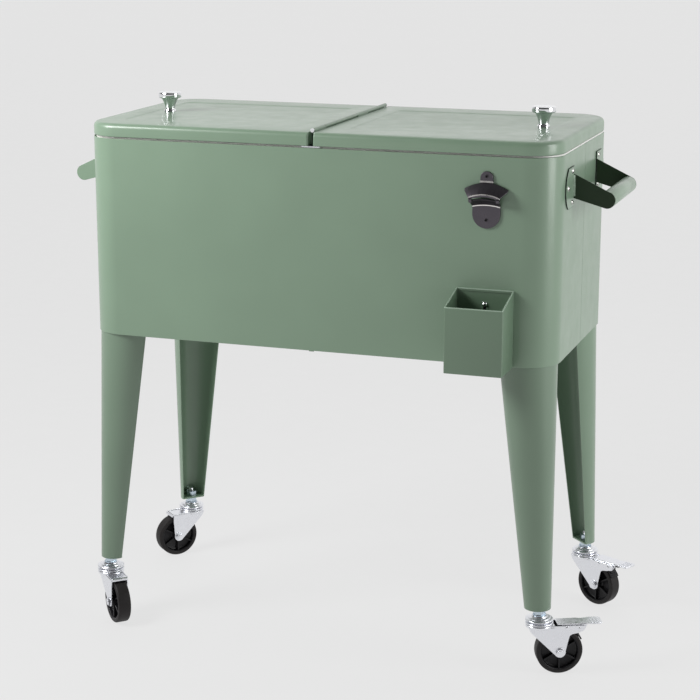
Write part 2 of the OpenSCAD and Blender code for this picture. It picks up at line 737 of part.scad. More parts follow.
// Moulded wheel: rim, web with ribs, and hub
module wheel() color(black) translate([trail, 0, axle_z]) rotate([90, 0, 0]) difference() {
    half = wheel_w / 2;
    union() {
        rotate_extrude() {
            polygon([[28, -half + 1], [29, -half], [wheel_r - 3, -half], [wheel_r - 1, -half + 1],
                [wheel_r, -half + 3.5], [wheel_r, half - 3.5], [wheel_r - 1, half - 1],
                [wheel_r - 3, half], [29, half], [28, half - 1]]);
            translate([8, -3]) square([21, 6]);
            translate([0, -cheek_y + 0.5]) square([9.5, 2 * cheek_y - 1]);
        }
        for (a = [0:60:300]) rotate(a) translate([8, -1.3, -8]) cube([21, 2.6, 16]);
    }
    translate([0, 0, -30]) cylinder(h = 60, r = axle_r + run_gap);
}

// Pedal: a folded plate that rocks on the pivot rivet; at rest it is pressed down and brakes
module brake_pedal() color(zinc) difference() {
    union() {
        translate([28, -12.3, pedal_z0]) cube([44, 24.6, 2]);
        translate([0, 0, pedal_z0]) linear_extrude(2)
            polygon([[70, -12.3], [78, -pedal_half], [pedal_reach - 3, -pedal_half], [pedal_reach, -pedal_nose],
                [pedal_reach, pedal_nose], [pedal_reach - 3, pedal_half], [78, pedal_half], [70, 12.3]]);
        for (y = [-10.3, 12.3]) translate([0, y, 0]) rotate([90, 0, 0]) linear_extrude(2)
            polygon([[34, 84], [74, 84], [72, 78], [62, 69], [53, 74.2], [44, 76.2], [34, 76.8]]);
    }
    translate([pivot_x, 30, pivot_z]) rotate([90, 0, 0]) cylinder(h = 60, r = pivot_r + run_gap);
}

shoe_r = wheel_r + 0.6;
shoe_t = 2.6;

// Brake shoe: a curved block on the tread, held up to the pedal by a post
module brake_shoe() color(black) translate([trail, 0, axle_z]) rotate([90, 0, 0]) difference() {
    union() {
        translate([0, 0, -9]) linear_extrude(18) difference() {
            circle(shoe_r + shoe_t);
            polygon([[0, 0], 60 * [cos(28), sin(28)], [60, -60], [-60, -60], [-60, 60],
                60 * [cos(58), sin(58)]]);
        }
        translate([26, 26, -6]) cube([5, pedal_z0 - axle_z - 26, 12]);
    }
    translate([0, 0, -20]) cylinder(h = 40, r = shoe_r);
}

// ---------------------------------------------------------------- left and right

module left() at_body() mirror([1, 0, 0]) children();
module right() at_body() children();

body_shell();
base_panel();
tub_liner();
insulation();
centre_bar();
hinge_centre_leaf();
hinge_pin();
hinge_screws();
left() lid_shell();  // lid_left_shell
left() lid_panel();  // lid_left_panel
left() lid_foam();  // lid_left_foam
left() lid_leaf(LEFT_KNUCKLES);  // lid_left_leaf
left() knob();  // knob_left
left() knob_screw();  // knob_screw_left
right() lid_shell();  // lid_right_shell
right() lid_panel();  // lid_right_panel
right() lid_foam();  // lid_right_foam
right() lid_leaf(RIGHT_KNUCKLES);  // lid_right_leaf
right() knob();  // knob_right
right() knob_screw();  // knob_screw_right
left() handle_brackets();  // handle_left_brackets
left() grip_bar();  // handle_left_grip
right() handle_brackets();  // handle_right_brackets
right() grip_bar();  // handle_right_grip
handle_screws();
bottle_opener();
opener_screws();
cap_box();
cap_box_screw();
leg_at(FL);  // leg_fl
leg_at(FR);  // leg_fr
leg_at(BL);  // leg_bl
leg_at(BR);  // leg_br
leg_bolts();
drain_spout();
drain_nut();
drain_plug();
stem_nuts();
on_swivel(FL, turn_fl) caster_mount();  // caster_mount_fl
on_swivel(FR, turn_fr) caster_mount();  // caster_mount_fr
on_swivel(BL, turn_bl) caster_mount();  // caster_mount_bl
on_swivel(BR, turn_br) caster_mount();  // caster_mount_br
on_swivel(FL, turn_fl) fork(false);  // fork_fl
on_swivel(FR, turn_fr) fork(true);  // fork_fr
on_swivel(BL, turn_bl) fork(false);  // fork_bl
on_swivel(BR, turn_br) fork(true);  // fork_br
on_swivel(FL, turn_fl) wheel();  // wheel_fl
on_swivel(FR, turn_fr) wheel();  // wheel_fr
on_swivel(BL, turn_bl) wheel();  // wheel_bl
on_swivel(BR, turn_br) wheel();  // wheel_br
on_swivel(FL, turn_fl) axle(false);  // axle_fl
on_swivel(FR, turn_fr) axle(true);  // axle_fr
on_swivel(BL, turn_bl) axle(false);  // axle_bl
on_swivel(BR, turn_br) axle(true);  // axle_br
on_swivel(FR, turn_fr) brake_pedal();  // brake_pedal_fr
on_swivel(BR, turn_br) brake_pedal();  // brake_pedal_br
on_swivel(FR, turn_fr) brake_shoe();  // brake_shoe_fr
on_swivel(BR, turn_br) brake_shoe();  // brake_shoe_br
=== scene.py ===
"""Cooler cart: looks, floor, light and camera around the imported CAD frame.

Pieces are modelled in millimetres about the cabinet's middle (casters: about their swivel axis, with +X
along the trail) and then placed in the row frame, which is in metres.
"""

import json
import math

import bmesh
import bpy
from mathutils import Matrix, Vector


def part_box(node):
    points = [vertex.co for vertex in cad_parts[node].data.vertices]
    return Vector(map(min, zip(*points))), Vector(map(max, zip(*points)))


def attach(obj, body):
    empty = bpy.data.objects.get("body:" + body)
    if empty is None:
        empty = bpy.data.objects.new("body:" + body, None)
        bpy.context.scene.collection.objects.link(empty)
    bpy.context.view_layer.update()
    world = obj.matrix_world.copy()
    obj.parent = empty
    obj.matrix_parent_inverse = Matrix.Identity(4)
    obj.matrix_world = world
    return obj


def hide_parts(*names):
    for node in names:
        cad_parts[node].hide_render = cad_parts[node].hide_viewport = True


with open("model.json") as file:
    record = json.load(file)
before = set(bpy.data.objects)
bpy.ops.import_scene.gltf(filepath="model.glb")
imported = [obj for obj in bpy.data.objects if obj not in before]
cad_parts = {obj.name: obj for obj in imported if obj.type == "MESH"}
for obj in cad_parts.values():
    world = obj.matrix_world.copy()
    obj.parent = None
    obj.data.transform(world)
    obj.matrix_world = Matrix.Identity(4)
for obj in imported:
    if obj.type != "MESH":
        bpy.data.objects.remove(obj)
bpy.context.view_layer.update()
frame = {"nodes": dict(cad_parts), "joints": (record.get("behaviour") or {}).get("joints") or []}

MM = 0.001
scene = bpy.context.scene

# ---------------------------------------------------------------- places read from the frame

cabinet_lo, cabinet_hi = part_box("body_shell")
ORIGIN = Vector(((cabinet_lo.x + cabinet_hi.x) / 2, (cabinet_lo.y + cabinet_hi.y) / 2, 0))
TO_ROW = Matrix.Translation(ORIGIN) @ Matrix.Scale(MM, 4)
MIRROR_X = Matrix.Diagonal((-1, 1, 1, 1))
MIRROR_Y = Matrix.Diagonal((1, -1, 1, 1))
SIDEWAYS = Matrix.Rotation(math.radians(90), 4, "X")    # stands a flat outline up, facing -Y

HALF_L = (cabinet_hi.x - cabinet_lo.x) / 2 / MM
HALF_D = (cabinet_hi.y - cabinet_lo.y) / 2 / MM
CABINET_Z0 = cabinet_lo.z / MM
CABINET_Z1 = cabinet_hi.z / MM
CORNER_R = 55
SHEET_T = 1.2

joints = {joint["name"]: joint for joint in frame["joints"]}


def local_box(node):
    """A CAD node's box in millimetres about the cabinet's middle."""
    lo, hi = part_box(node)
    return (lo - ORIGIN) / MM, (hi - ORIGIN) / MM


# ---------------------------------------------------------------- mesh tools

POLE_R = 1e-3           # least radius of a ring, in place of a point on the axis
WELD = 2e-3             # points closer than this become one
FLAT_ANGLE = math.radians(0.5)


def on_circle(cx, cy, radius, angle):
    """Point on a circle, angle in degrees."""
    turn = math.radians(angle)
    return cx + radius * math.cos(turn), cy + radius * math.sin(turn)


def arc(cx, cy, radius, start, end, steps):
    """Points on a circle's arc, angles in degrees."""
    return [on_circle(cx, cy, radius, start + (end - start) * i / steps) for i in range(steps + 1)]


def circle(cx, cy, radius, steps=32):
    return arc(cx, cy, radius, 0, 360 * (steps - 1) / steps, steps - 1)


def rounded_box(x0, x1, y0, y1, r_left, r_right, steps=12):
    """Rectangle with one corner radius on the left and one on the right, from the front right corner."""
    return (
        arc(x1 - r_right, y0 + r_right, r_right, -90, 0, steps)
        + arc(x1 - r_right, y1 - r_right, r_right, 0, 90, steps)
        + arc(x0 + r_left, y1 - r_left, r_left, 90, 180, steps)
        + arc(x0 + r_left, y0 + r_left, r_left, 180, 270, steps)
    )


def mirrored(profile):
    """Points followed by their mirror image across the first axis, in reverse order."""
    return profile + [(r, -z) for r, z in reversed(profile)]


def at_height(outline, z):
    return [(x, y, z) for x, y in outline]


def loft(bm, rings, caps=(True, True), loop=False):
    """Skins rings of the same number of points. loop joins the last ring to the first."""
    rows = [[bm.verts.new(point) for point in ring] for ring in rings]
    pairs = list(zip(rows, rows[1:]))
    if loop:
        pairs.append((rows[-1], rows[0]))
    count = len(rows[0])
    for low, high in pairs:
        for i in range(count):
            j = (i + 1) % count
            bm.faces.new((low[i], low[j], high[j], high[i]))
    if caps[0] and not loop:
        bm.faces.new(list(reversed(rows[0])))
    if caps[1] and not loop:
        bm.faces.new(rows[-1])
    return rows


def lathe(bm, profile, steps, loop=False, turn=Matrix()):
    """Turns (radius, height) points about Z, then places them with turn."""
    rings = [[turn @ Vector((x, y, z)) for x, y in circle(0, 0, max(r, POLE_R), steps)] for r, z in profile]
    loft(bm, rings, loop=loop)


def prism(bm, outline, z0, z1, turn=Matrix(), holes=()):
    """Plate with the outline and holes, from z0 to z1, then placed with turn."""
    edges = []
    for loop in (outline, *holes):
        verts = [bm.verts.new(turn @ Vector((x, y, z0))) for x, y in loop]
        edges += [bm.edges.new((verts[i - 1], verts[i])) for i in range(len(verts))]
    faces = [g for g in bmesh.ops.triangle_fill(bm, edges=edges, use_beauty=True)["geom"]
             if isinstance(g, bmesh.types.BMFace)]
    raised = bmesh.ops.extrude_face_region(bm, geom=faces, use_keep_orig=True)["geom"]
    shift = turn.to_3x3() @ Vector((0, 0, z1 - z0))
    bmesh.ops.translate(bm, vec=shift, verts=[g for g in raised if isinstance(g, bmesh.types.BMVert)])


def cuboid(bm, x0, x1, y0, y1, z0, z1, turn=Matrix()):
    prism(bm, [(x0, y0), (x1, y0), (x1, y1), (x0, y1)], z0, z1, turn)


def piece(name, bm, material, body, nodes, bevel=0.0, segments=2, smooth=32, place=TO_ROW,
          join_flats=True):
    """Makes an object of bm that rides on body and stands for nodes. bevel is in millimetres.

    join_flats joins the flat faces that lie in one plane; a closed flat ring has to stay in parts.
    """
    bmesh.ops.remove_doubles(bm, verts=bm.verts, dist=WELD)
    if join_flats:
        bmesh.ops.dissolve_limit(bm, angle_limit=FLAT_ANGLE, verts=bm.verts, edges=bm.edges)
    bmesh.ops.transform(bm, matrix=place, verts=bm.verts)
    bmesh.ops.recalc_face_normals(bm, faces=bm.faces)
    data = bpy.data.meshes.new(name)
    bm.to_mesh(data)
    bm.free()
    data.materials.append(material)
    data.shade_smooth()
    data.set_sharp_from_angle(angle=math.radians(smooth))
    obj = bpy.data.objects.new(name, data)
    scene.collection.objects.link(obj)
    if bevel:
        edges = obj.modifiers.new("soft_edges", "BEVEL")
        edges.width = bevel * MM
        edges.segments = segments
        edges.limit_method = "ANGLE"
        edges.angle_limit = math.radians(smooth)
        edges.harden_normals = True
    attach(obj, body)
    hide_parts(*nodes)
    return obj


# ---------------------------------------------------------------- materials

# Noise scales, in cells to the metre
CLOUD, SHEET_WAVE, PAINT_GLOSS, ORANGE_PEEL, SPECKLE = 7.0, 4.0, 30.0, 900.0, 2400.0
DUST, PLASTIC_GLOSS = 60.0, 25.0
CRYSTAL, STAIN = 420.0, 90.0
BEAD, BEAD_GLOSS = 240.0, 50.0


class Shader:
    """A Principled material and short ways to add nodes to it. Textures use the object's own metres."""

    def __init__(self, name, **constants):
        self.material = bpy.data.materials.new(name)
        self.material.use_nodes = True
        self.tree = self.material.node_tree
        self.main = self.tree.nodes["Principled BSDF"]
        self.place = self.add("ShaderNodeTexCoord").outputs["Object"]
        for socket, value in constants.items():
            self.main.inputs[socket.replace("_", " ")].default_value = value

    def add(self, kind, inputs=(), **settings):
        node = self.tree.nodes.new(kind)
        for key, value in settings.items():
            setattr(node, key, value)
        for key, value in dict(inputs).items():
            self.put(node.inputs[key], value)
        return node

    def put(self, socket, value):
        if isinstance(value, bpy.types.NodeSocket):
            self.tree.links.new(value, socket)
        else:
            socket.default_value = value

    def stretched(self, scale):
        return self.add("ShaderNodeMapping", {"Vector": self.place, "Scale": scale}).outputs["Vector"]

    def noise(self, scale, detail=3.0, vector=None):
        inputs = {"Vector": vector or self.place, "Scale": scale, "Detail": detail}
        return self.add("ShaderNodeTexNoise", inputs).outputs["Fac"]

    def cells(self, scale, feature="F1"):
        inputs = {"Vector": self.place, "Scale": scale}
        return self.add("ShaderNodeTexVoronoi", inputs, feature=feature).outputs[0]

    def ramp(self, value, low, high, lo_at=0.3, hi_at=0.7):
        """Maps value to colours or greys between lo_at and hi_at."""
        node = self.add("ShaderNodeValToRGB", {"Fac": value})
        for element, at, colour in zip(node.color_ramp.elements, (lo_at, hi_at), (low, high)):
            element.position = at
            element.color = (*colour, 1) if isinstance(colour, tuple) else (colour, colour, colour, 1)
        return node.outputs["Color"]

    def multiply(self, a, b):
        node = self.add("ShaderNodeMix", {"Factor": 1.0}, data_type="RGBA", blend_type="MULTIPLY")
        self.put(node.inputs["A"], a)
        self.put(node.inputs["B"], b)
        return node.outputs["Result"]

    def colour(self, value):
        self.put(self.main.inputs["Base Color"], value)

    def roughness(self, value):
        self.put(self.main.inputs["Roughness"], value)

    def bump(self, *layers):
        """Each layer is (height, strength, distance in metres)."""
        normal = None
        for height, strength, distance in layers:
            inputs = {"Height": height, "Strength": strength, "Distance": distance}
            if normal:
                inputs["Normal"] = normal
            normal = self.add("ShaderNodeBump", inputs).outputs["Normal"]
        self.put(self.main.inputs["Normal"], normal)


def shaded(colour, share):
    return tuple(c * share for c in colour)


def paint(name, colour, coat=0.5, shine=0.5):
    """Satin powder coat: faint cloudiness, fine orange peel, slightly uneven sheet."""
    s = Shader(name, Metallic=0.0, Coat_Weight=coat, Coat_Roughness=0.2, Specular_IOR_Level=shine)
    cloud = s.ramp(s.noise(CLOUD, 2.0), shaded(colour, 0.96), shaded(colour, 1.03))
    speckle = s.ramp(s.noise(SPECKLE, 2.0), 0.95, 1.0)
    s.colour(s.multiply(cloud, speckle))
    s.roughness(s.ramp(s.noise(PAINT_GLOSS, 4.0), 0.36, 0.46))
    s.bump((s.noise(SHEET_WAVE, 1.0), 0.25, 0.002), (s.noise(ORANGE_PEEL, 2.0), 0.10, 0.0002))
    return s.material


def moulded(name, colour, rough, grain, shine=0.5, dusty=0.12):
    """Moulded plastic with a fine grain. dusty sets how uneven its dust and its gloss are."""
    s = Shader(name, Specular_IOR_Level=shine)
    dust = s.ramp(s.noise(DUST, 5.0), shaded(colour, 1 - dusty), shaded(colour, 1 + dusty), 0.35, 0.65)
    s.colour(s.multiply(dust, s.ramp(s.noise(grain, 2.0), 0.9, 1.0)))
    s.roughness(s.ramp(s.noise(PLASTIC_GLOSS, 4.0), rough - dusty / 2, rough + dusty * 0.7))
    s.bump((s.noise(grain, 3.0), 0.2, 0.0002))
    return s.material


def metal(name, colour, rough, spangle=0.06, brush=None, relief=0.012):
    """Bare or plated metal. spangle is how much plating crystals vary; brush is the streaks' stretch."""
    s = Shader(name, Metallic=1.0, Specular_IOR_Level=0.5)
    crystals = s.ramp(s.cells(CRYSTAL), shaded(colour, 1 - spangle), colour, 0.0, 0.9)
    stain = s.ramp(s.noise(STAIN, 4.0), 1 - spangle, 1.0)
    s.colour(s.multiply(crystals, stain))
    grain = s.noise(1.0, 6.0, s.stretched(brush)) if brush else s.noise(STAIN, 2.0)
    s.roughness(s.ramp(grain, rough * 0.8, rough * 1.25))
    s.bump((grain, relief, 0.0002))
    return s.material


def beads(name, colour):
    """Foam: pressed beads with dark joints."""
    s = Shader(name, Specular_IOR_Level=0.3)
    cells = s.cells(BEAD, "DISTANCE_TO_EDGE")
    s.colour(s.ramp(cells, shaded(colour, 0.8), colour, 0.0, 0.12))
    s.roughness(s.ramp(s.noise(BEAD_GLOSS), 0.8, 0.95))
    s.bump((cells, 0.4, 0.001))
    return s.material


GREEN = (0.178, 0.264, 0.183)
green = paint("green_powder_coat", GREEN)
white = moulded("white_moulded_plastic", (0.80, 0.80, 0.77), rough=0.3, grain=700.0, dusty=0.02)
# Black wheel plastic, also used as painted shade at the flange edges, screw recesses and keyhole.
black = moulded("black_plastic_and_painted_shade", (0.008, 0.0075, 0.009), rough=0.42, grain=900.0, shine=0.3)
tread = moulded("worn_tread_plastic", (0.013, 0.011, 0.011), rough=0.55, grain=500.0, shine=0.3)
# Darker copy of the green for the cap catcher: painted shade.
shaded_box_green = paint("box_green_powder_coat", (0.124, 0.196, 0.128))
# Lighter copy of the green for the cap catcher's hem: painted highlight.
highlight_hem_green = paint("lit_hem_green_powder_coat", (0.30, 0.40, 0.31))
# Darker copy of the green for the front legs: painted shade.
shaded_leg_green = paint("leg_green_powder_coat", shaded(GREEN, 0.82))
# Near-black copy of the green for the right-hand handle's arms: painted shade.
painted_shade_green = paint("shaded_green_powder_coat", (0.015, 0.034, 0.013), coat=0.0, shine=0.3)
chrome = metal("polished_chrome", (0.86, 0.87, 0.89), rough=0.07, spangle=0.02)
zinc = metal("zinc_plate", (0.84, 0.85, 0.89), rough=0.30, spangle=0.03)
# Blue zinc plating for the stem nuts, made darker than the other zinc as painted shade.
shaded_blue_zinc = metal("blue_zinc_plate", (0.58, 0.67, 0.75), rough=0.25)
brushed = metal("brushed_steel", (0.115, 0.105, 0.12), rough=0.33, spangle=0.05,
                brush=(900, 60, 60), relief=0.12)
# Bright steel for the opener's screws, also used as painted highlight on the opener's edges.
bright_steel_and_highlight = metal("polished_steel_and_painted_edge_highlight", (0.85, 0.82, 0.80), rough=0.32, spangle=0.05)
screw_steel = metal("screw_steel", (0.42, 0.42, 0.40), rough=0.25, spangle=0.05)
foam = beads("pressed_foam", (0.86, 0.86, 0.82))

CAD_MATERIALS = {
    "base_panel": green, "hinge_centre_leaf": green, "lid_left_leaf": green, "lid_right_leaf": green,
    "insulation": foam, "lid_left_foam": foam, "lid_right_foam": foam, "centre_bar": zinc,
    "hinge_pin": chrome, "hinge_screws": zinc, "knob_screw_left": zinc, "knob_screw_right": zinc,
    "handle_screws": screw_steel, "opener_screws": bright_steel_and_highlight, "cap_box_screw": chrome,
    "leg_bolts": zinc, "drain_spout": white, "drain_nut": white, "drain_plug": black, "stem_nuts": shaded_blue_zinc,
}
for node, material in CAD_MATERIALS.items():
    mesh = frame["nodes"][node].data
    mesh.materials.clear()
    mesh.materials.append(material)

# ---------------------------------------------------------------- cabinet

HEM = 0.4               # radius of the sheet's rolled edges
SEAM_Y, SEAM_W, SEAM_DEPTH = 3.0, 0.8, 0.7
SEAM_SLOPE = 0.1        # how far each side of the seam leans
CORNER_STEPS = 20


def cabinet_outline(inset, seam):
    """The cabinet's outline drawn in by inset, with the sheet's seam at the right-hand end."""
    length, depth, radius = HALF_L - inset, HALF_D - inset, CORNER_R - inset
    right = [
        (length, SEAM_Y), (length - seam, SEAM_Y + SEAM_SLOPE),
        (length - seam, SEAM_Y + SEAM_W - SEAM_SLOPE), (length, SEAM_Y + SEAM_W),
    ]
    corners = rounded_box(-length, length, -depth, depth, radius, radius, CORNER_STEPS)
    return corners[:CORNER_STEPS + 1] + right + corners[CORNER_STEPS + 1:]


cabinet = bmesh.new()
sheet_profile = [
    (0, CABINET_Z0 + HEM), (0, CABINET_Z1 - HEM), (HEM, CABINET_Z1), (SHEET_T - HEM, CABINET_Z1),
    (SHEET_T, CABINET_Z1 - HEM), (SHEET_T, CABINET_Z0 + HEM), (SHEET_T - HEM, CABINET_Z0), (HEM, CABINET_Z0),
]
loft(cabinet, [at_height(cabinet_outline(inset, SEAM_DEPTH if inset < SHEET_T / 2 else 0), z)
               for inset, z in sheet_profile], loop=True)
piece("cabinet_wrap", cabinet, green, "cart", ["body_shell"], join_flats=False)

# ---------------------------------------------------------------- tub

TUB_HALF_L, TUB_HALF_D, TUB_R = 352, 155, 14
TUB_FLOOR, TUB_T = 543, 3
RIM_T = 2.2
RIM_TOP = CABINET_Z1 + RIM_T
RIM_BACK = 3.5          # how far the rim stays behind the cabinet's outside
RIM_OUT = 0.6           # how far it reaches past it at the right-hand end
FLOOR_FILLET, FILLET_STEPS = 10, 6
DRAIN_X, DRAIN_R = -250, 13.2


def tub_outline(grow):
    length, depth, radius = TUB_HALF_L + grow, TUB_HALF_D + grow, max(TUB_R + grow, 2)
    return rounded_box(-length, length, -depth, depth, radius, radius, 16)


def rim_outline(inset):
    """The rim shows as a white line at the right-hand end and stays back in the gap elsewhere."""
    back = RIM_BACK + inset
    depth, radius = HALF_D - back, CORNER_R - back
    return rounded_box(-HALF_L + back, HALF_L + RIM_OUT - inset, -depth, depth, radius, radius, 16)


def floor_fillet():
    """Rings of the round between the tub's walls and its floor, from the walls down."""
    rings = []
    for i in range(FILLET_STEPS, -1, -1):
        turn = math.pi / 2 * i / FILLET_STEPS
        inset, up = FLOOR_FILLET * (1 - math.sin(turn)), FLOOR_FILLET * (1 - math.cos(turn))
        rings.append(at_height(tub_outline(-inset), TUB_FLOOR + up))
    return rings


tub = bmesh.new()
outside = [at_height(tub_outline(TUB_T), TUB_FLOOR - TUB_T), at_height(tub_outline(TUB_T), RIM_TOP - RIM_T)]
rim = [
    at_height(rim_outline(1.6), RIM_TOP - RIM_T), at_height(rim_outline(1.1), RIM_TOP - 1.4),
    at_height(rim_outline(1.6), RIM_TOP), at_height(tub_outline(3), RIM_TOP),
    at_height(tub_outline(1), RIM_TOP - 1), at_height(tub_outline(0), RIM_TOP - 3),
]
rows = loft(tub, outside + rim + floor_fillet(), caps=(False, False))
# The drain's hole, through the outside and the inside of the floor
for row in (rows[0], rows[-1]):
    z = row[0].co.z
    hole = [tub.verts.new((x, y, z)) for x, y in circle(DRAIN_X, 0, DRAIN_R, 24)]
    edges = [tub.edges.new((hole[i - 1], hole[i])) for i in range(len(hole))]
    edges += [tub.edges.get((row[i - 1], row[i])) for i in range(len(row))]
    bmesh.ops.triangle_fill(tub, edges=edges, use_beauty=True)
piece("tub", tub, white, "cart", ["tub_liner"])

# ---------------------------------------------------------------- lids

lid_lo, lid_hi = local_box("lid_right_shell")
LID_Z0, LID_TOP = lid_lo.z, lid_hi.z
LID_X0, LID_X1, LID_Y = lid_lo.x, lid_hi.x, lid_hi.y
LID_OUTER_R, LID_INNER_R = CORNER_R - 0.3, 3
LID_EDGE, EDGE_STEPS = 8, 8             # round between the lid's top and its sides
LID_T = 1.5
LID_STEPS = 14
HINGE_INSET = 0.6                       # how far that round draws in at the hinge
HEM_RINGS = ((LID_T, 0.9), (LID_T - 0.4, 0.1), (0.5, 0.0), (0.1, 0.5), (0.0, 1.2))
PRESS_X0, PRESS_X1, PRESS_HALF, PRESS_R = 42, 345, 131, 10
PRESS_DEPTH = 1.0
PRESS_RINGS = ((2.4, 0.0), (1.2, 0.12), (0.0, 0.5), (-1.2, 0.88), (-2.4, 1.0))
PANEL_R = 52.7
PANEL_RINGS = ((0.0, 1.0), (0.3, 0.2), (1.0, 0.0), (24.0, 0.0), (26.0, 0.4), (28.0, 1.2))
KNOB_X = 322
KNOB_R, KNOB_DISC = 19.0, 10.0
KNOB_TOP = local_box("knob_right")[1].z


def lid_outline(outer, inner):
    """The right lid's outline, drawn in by outer at its three free sides and by inner at the hinge."""
    return rounded_box(LID_X0 + inner, LID_X1 - outer, -LID_Y + outer, LID_Y - outer,
                       max(LID_INNER_R - inner, 0.5), LID_OUTER_R - outer, LID_STEPS)


def press_outline(grow):
    half, radius = PRESS_HALF + grow, PRESS_R + grow
    return rounded_box(PRESS_X0 - grow, PRESS_X1 + grow, -half, half, radius, radius, LID_STEPS)


def lid_shell():
    """Sheet lid: its inside, the hem, the sides, the rounded edge and the shallow pressed panel."""
    bm = bmesh.new()
    rings = [
        at_height(lid_outline(LID_T + 6, LID_T), LID_TOP - 2.9),
        at_height(lid_outline(LID_T, LID_T), LID_TOP - 9),
    ]
    for inset, up in HEM_RINGS:
        rings.append(at_height(lid_outline(inset, inset), LID_Z0 + up))
    for step in range(EDGE_STEPS + 1):
        turn = math.pi / 2 * step / EDGE_STEPS
        inset = LID_EDGE * (1 - math.cos(turn))
        at_hinge = min(inset, HINGE_INSET * step / EDGE_STEPS)
        rings.append(at_height(lid_outline(inset, at_hinge), LID_TOP - LID_EDGE * (1 - math.sin(turn))))
    for grow, down in PRESS_RINGS:
        rings.append(at_height(press_outline(grow), LID_TOP - PRESS_DEPTH * down))
    loft(bm, rings)
    return bm


def lid_liner():
    """White inner panel with a raised border."""
    lo, hi = local_box("lid_right_panel")

    def outline(inset):
        return rounded_box(lo.x + inset, hi.x - inset, lo.y + inset, hi.y - inset,
                           max(2, 6 - inset), PANEL_R - inset, LID_STEPS)

    bm = bmesh.new()
    rings = [at_height(outline(0.0), hi.z)]
    rings += [at_height(outline(inset), lo.z + up) for inset, up in PANEL_RINGS]
    loft(bm, rings)
    return bm


def knob():
    """Disc with rounded edges on a waisted neck, with a small foot ring."""
    top, base = KNOB_TOP, LID_TOP - PRESS_DEPTH
    wide, narrow, foot, length, steps = 14.0, 8.4, 10.0, 17.0, 10
    neck = []
    for i in range(steps + 1):
        waist = math.sin(math.pi / 2 * i / steps) ** 0.9
        neck.append((wide - (wide - narrow) * waist, top - KNOB_DISC - 1.0 - length * i / steps))
    profile = [
        (0, top - 0.3), (15.2, top - 0.3), (16.6, top), (17.9, top - 0.2), (18.8, top - 1.1),
        (KNOB_R, top - 2.2), (KNOB_R, top - 7.8),
        (18.7, top - 9.0), (17.8, top - 9.7), (15.0, top - KNOB_DISC),
        *neck, (8.7, top - 29), (9.6, top - 30), (foot, base + 0.8), (foot, base + 0.02), (0, base + 0.02),
    ]
    bm = bmesh.new()
    lathe(bm, profile, 64, turn=Matrix.Translation((KNOB_X, 0, 0)))
    return bm


for side, turn in (("right", TO_ROW), ("left", TO_ROW @ MIRROR_X)):
    body = "lid_" + side
    piece(body + "_cover", lid_shell(), green, body, [body + "_shell"], smooth=40, place=turn)
    piece(body + "_liner", lid_liner(), white, body, [body + "_panel"], place=turn)
    piece(body + "_knob", knob(), chrome, body, ["knob_" + side], smooth=40, place=turn)

# ---------------------------------------------------------------- handles

GRIP_X, GRIP_Z, GRIP_R = HALF_L + 54, 749.5, 13
ARM_Y, BRACKET_T = 86, 2
FLANGE_Z, FLANGE_R, FLANGE_HALF_H = 769, 35.5, 31
ARM_TOP, ARM_LOW = 788.5, 750.5
ARM_LEAD = 1.5          # bevel where the arm meets the cabinet
FLANGE_MID = 18         # from the arm to the middle of the flange's round end
BEND_R = 2.6


def arm_outline():
    """Arm seen from the front: straight at the cabinet, round about the grip."""
    low = [(HALF_L, ARM_LOW + 2), (HALF_L + ARM_LEAD, ARM_LOW)]
    top = [(HALF_L + ARM_LEAD, ARM_TOP), (HALF_L, ARM_TOP - 1)]
    return low + arc(GRIP_X, GRIP_Z, GRIP_R - 0.1, -112, 58, 22) + top


def flange_outline(grow=0.0):
    """D-shaped flange seen from the end, from the arm outwards."""
    half, radius = FLANGE_HALF_H + grow, FLANGE_R + grow
    reach = math.degrees(math.asin(half / radius))
    return [(-grow, -half), *arc(FLANGE_MID, 0, radius, -reach, reach, 24), (-grow, half)]


OUTWARD = Matrix(((0, 0, 1, 0), (1, 0, 0, 0), (0, 1, 0, 0), (0, 0, 0, 1)))
FLANGE_PLACE = Matrix.Translation((HALF_L, ARM_Y - BRACKET_T, FLANGE_Z)) @ OUTWARD
BOTH_ARMS = (Matrix(), MIRROR_Y)


def arms():
    bm = bmesh.new()
    for flip in BOTH_ARMS:
        prism(bm, arm_outline(), -ARM_Y, -ARM_Y + BRACKET_T, flip @ SIDEWAYS)
    return bm


def flanges():
    bm = bmesh.new()
    for flip in BOTH_ARMS:
        prism(bm, flange_outline(), 0.8, BRACKET_T, flip @ FLANGE_PLACE)
        # Bend between flange and arm
        bend = [(0.2 + BEND_R * (1 - math.cos(a)), BEND_R * (1 - math.sin(a)))
                for a in (0, 0.4, 0.8, 1.2, 1.57)]
        corner = [(0, 0)] + [(BRACKET_T + u, v) for u, v in bend][::-1]
        prism(bm, [(HALF_L + x, y) for x, y in corner], ARM_LOW + 3, ARM_TOP - 2,
              flip @ Matrix.Translation((0, ARM_Y, 0)))
    return bm


def flange_shadow_edges():
    """Black sliver round each flange's edge: painted shadow of the gap along it."""
    bm = bmesh.new()
    for flip in BOTH_ARMS:
        prism(bm, flange_outline(0.5), 0.05, BRACKET_T - 0.25, flip @ FLANGE_PLACE)
    return bm


def grip():
    """Bar with a welded shoulder at both arms."""
    half = ARM_Y - BRACKET_T
    bm = bmesh.new()
    shoulder = [(GRIP_R, -half + 0.8), (GRIP_R - 0.35, -half + 1.4), (GRIP_R, -half + 2.4)]
    profile = mirrored([(0, -half), (GRIP_R, -half), *shoulder])
    turn = Matrix.Translation((GRIP_X, 0, GRIP_Z)) @ Matrix.Rotation(math.radians(-90), 4, "X")
    lathe(bm, profile, 56, turn=turn)
    return bm


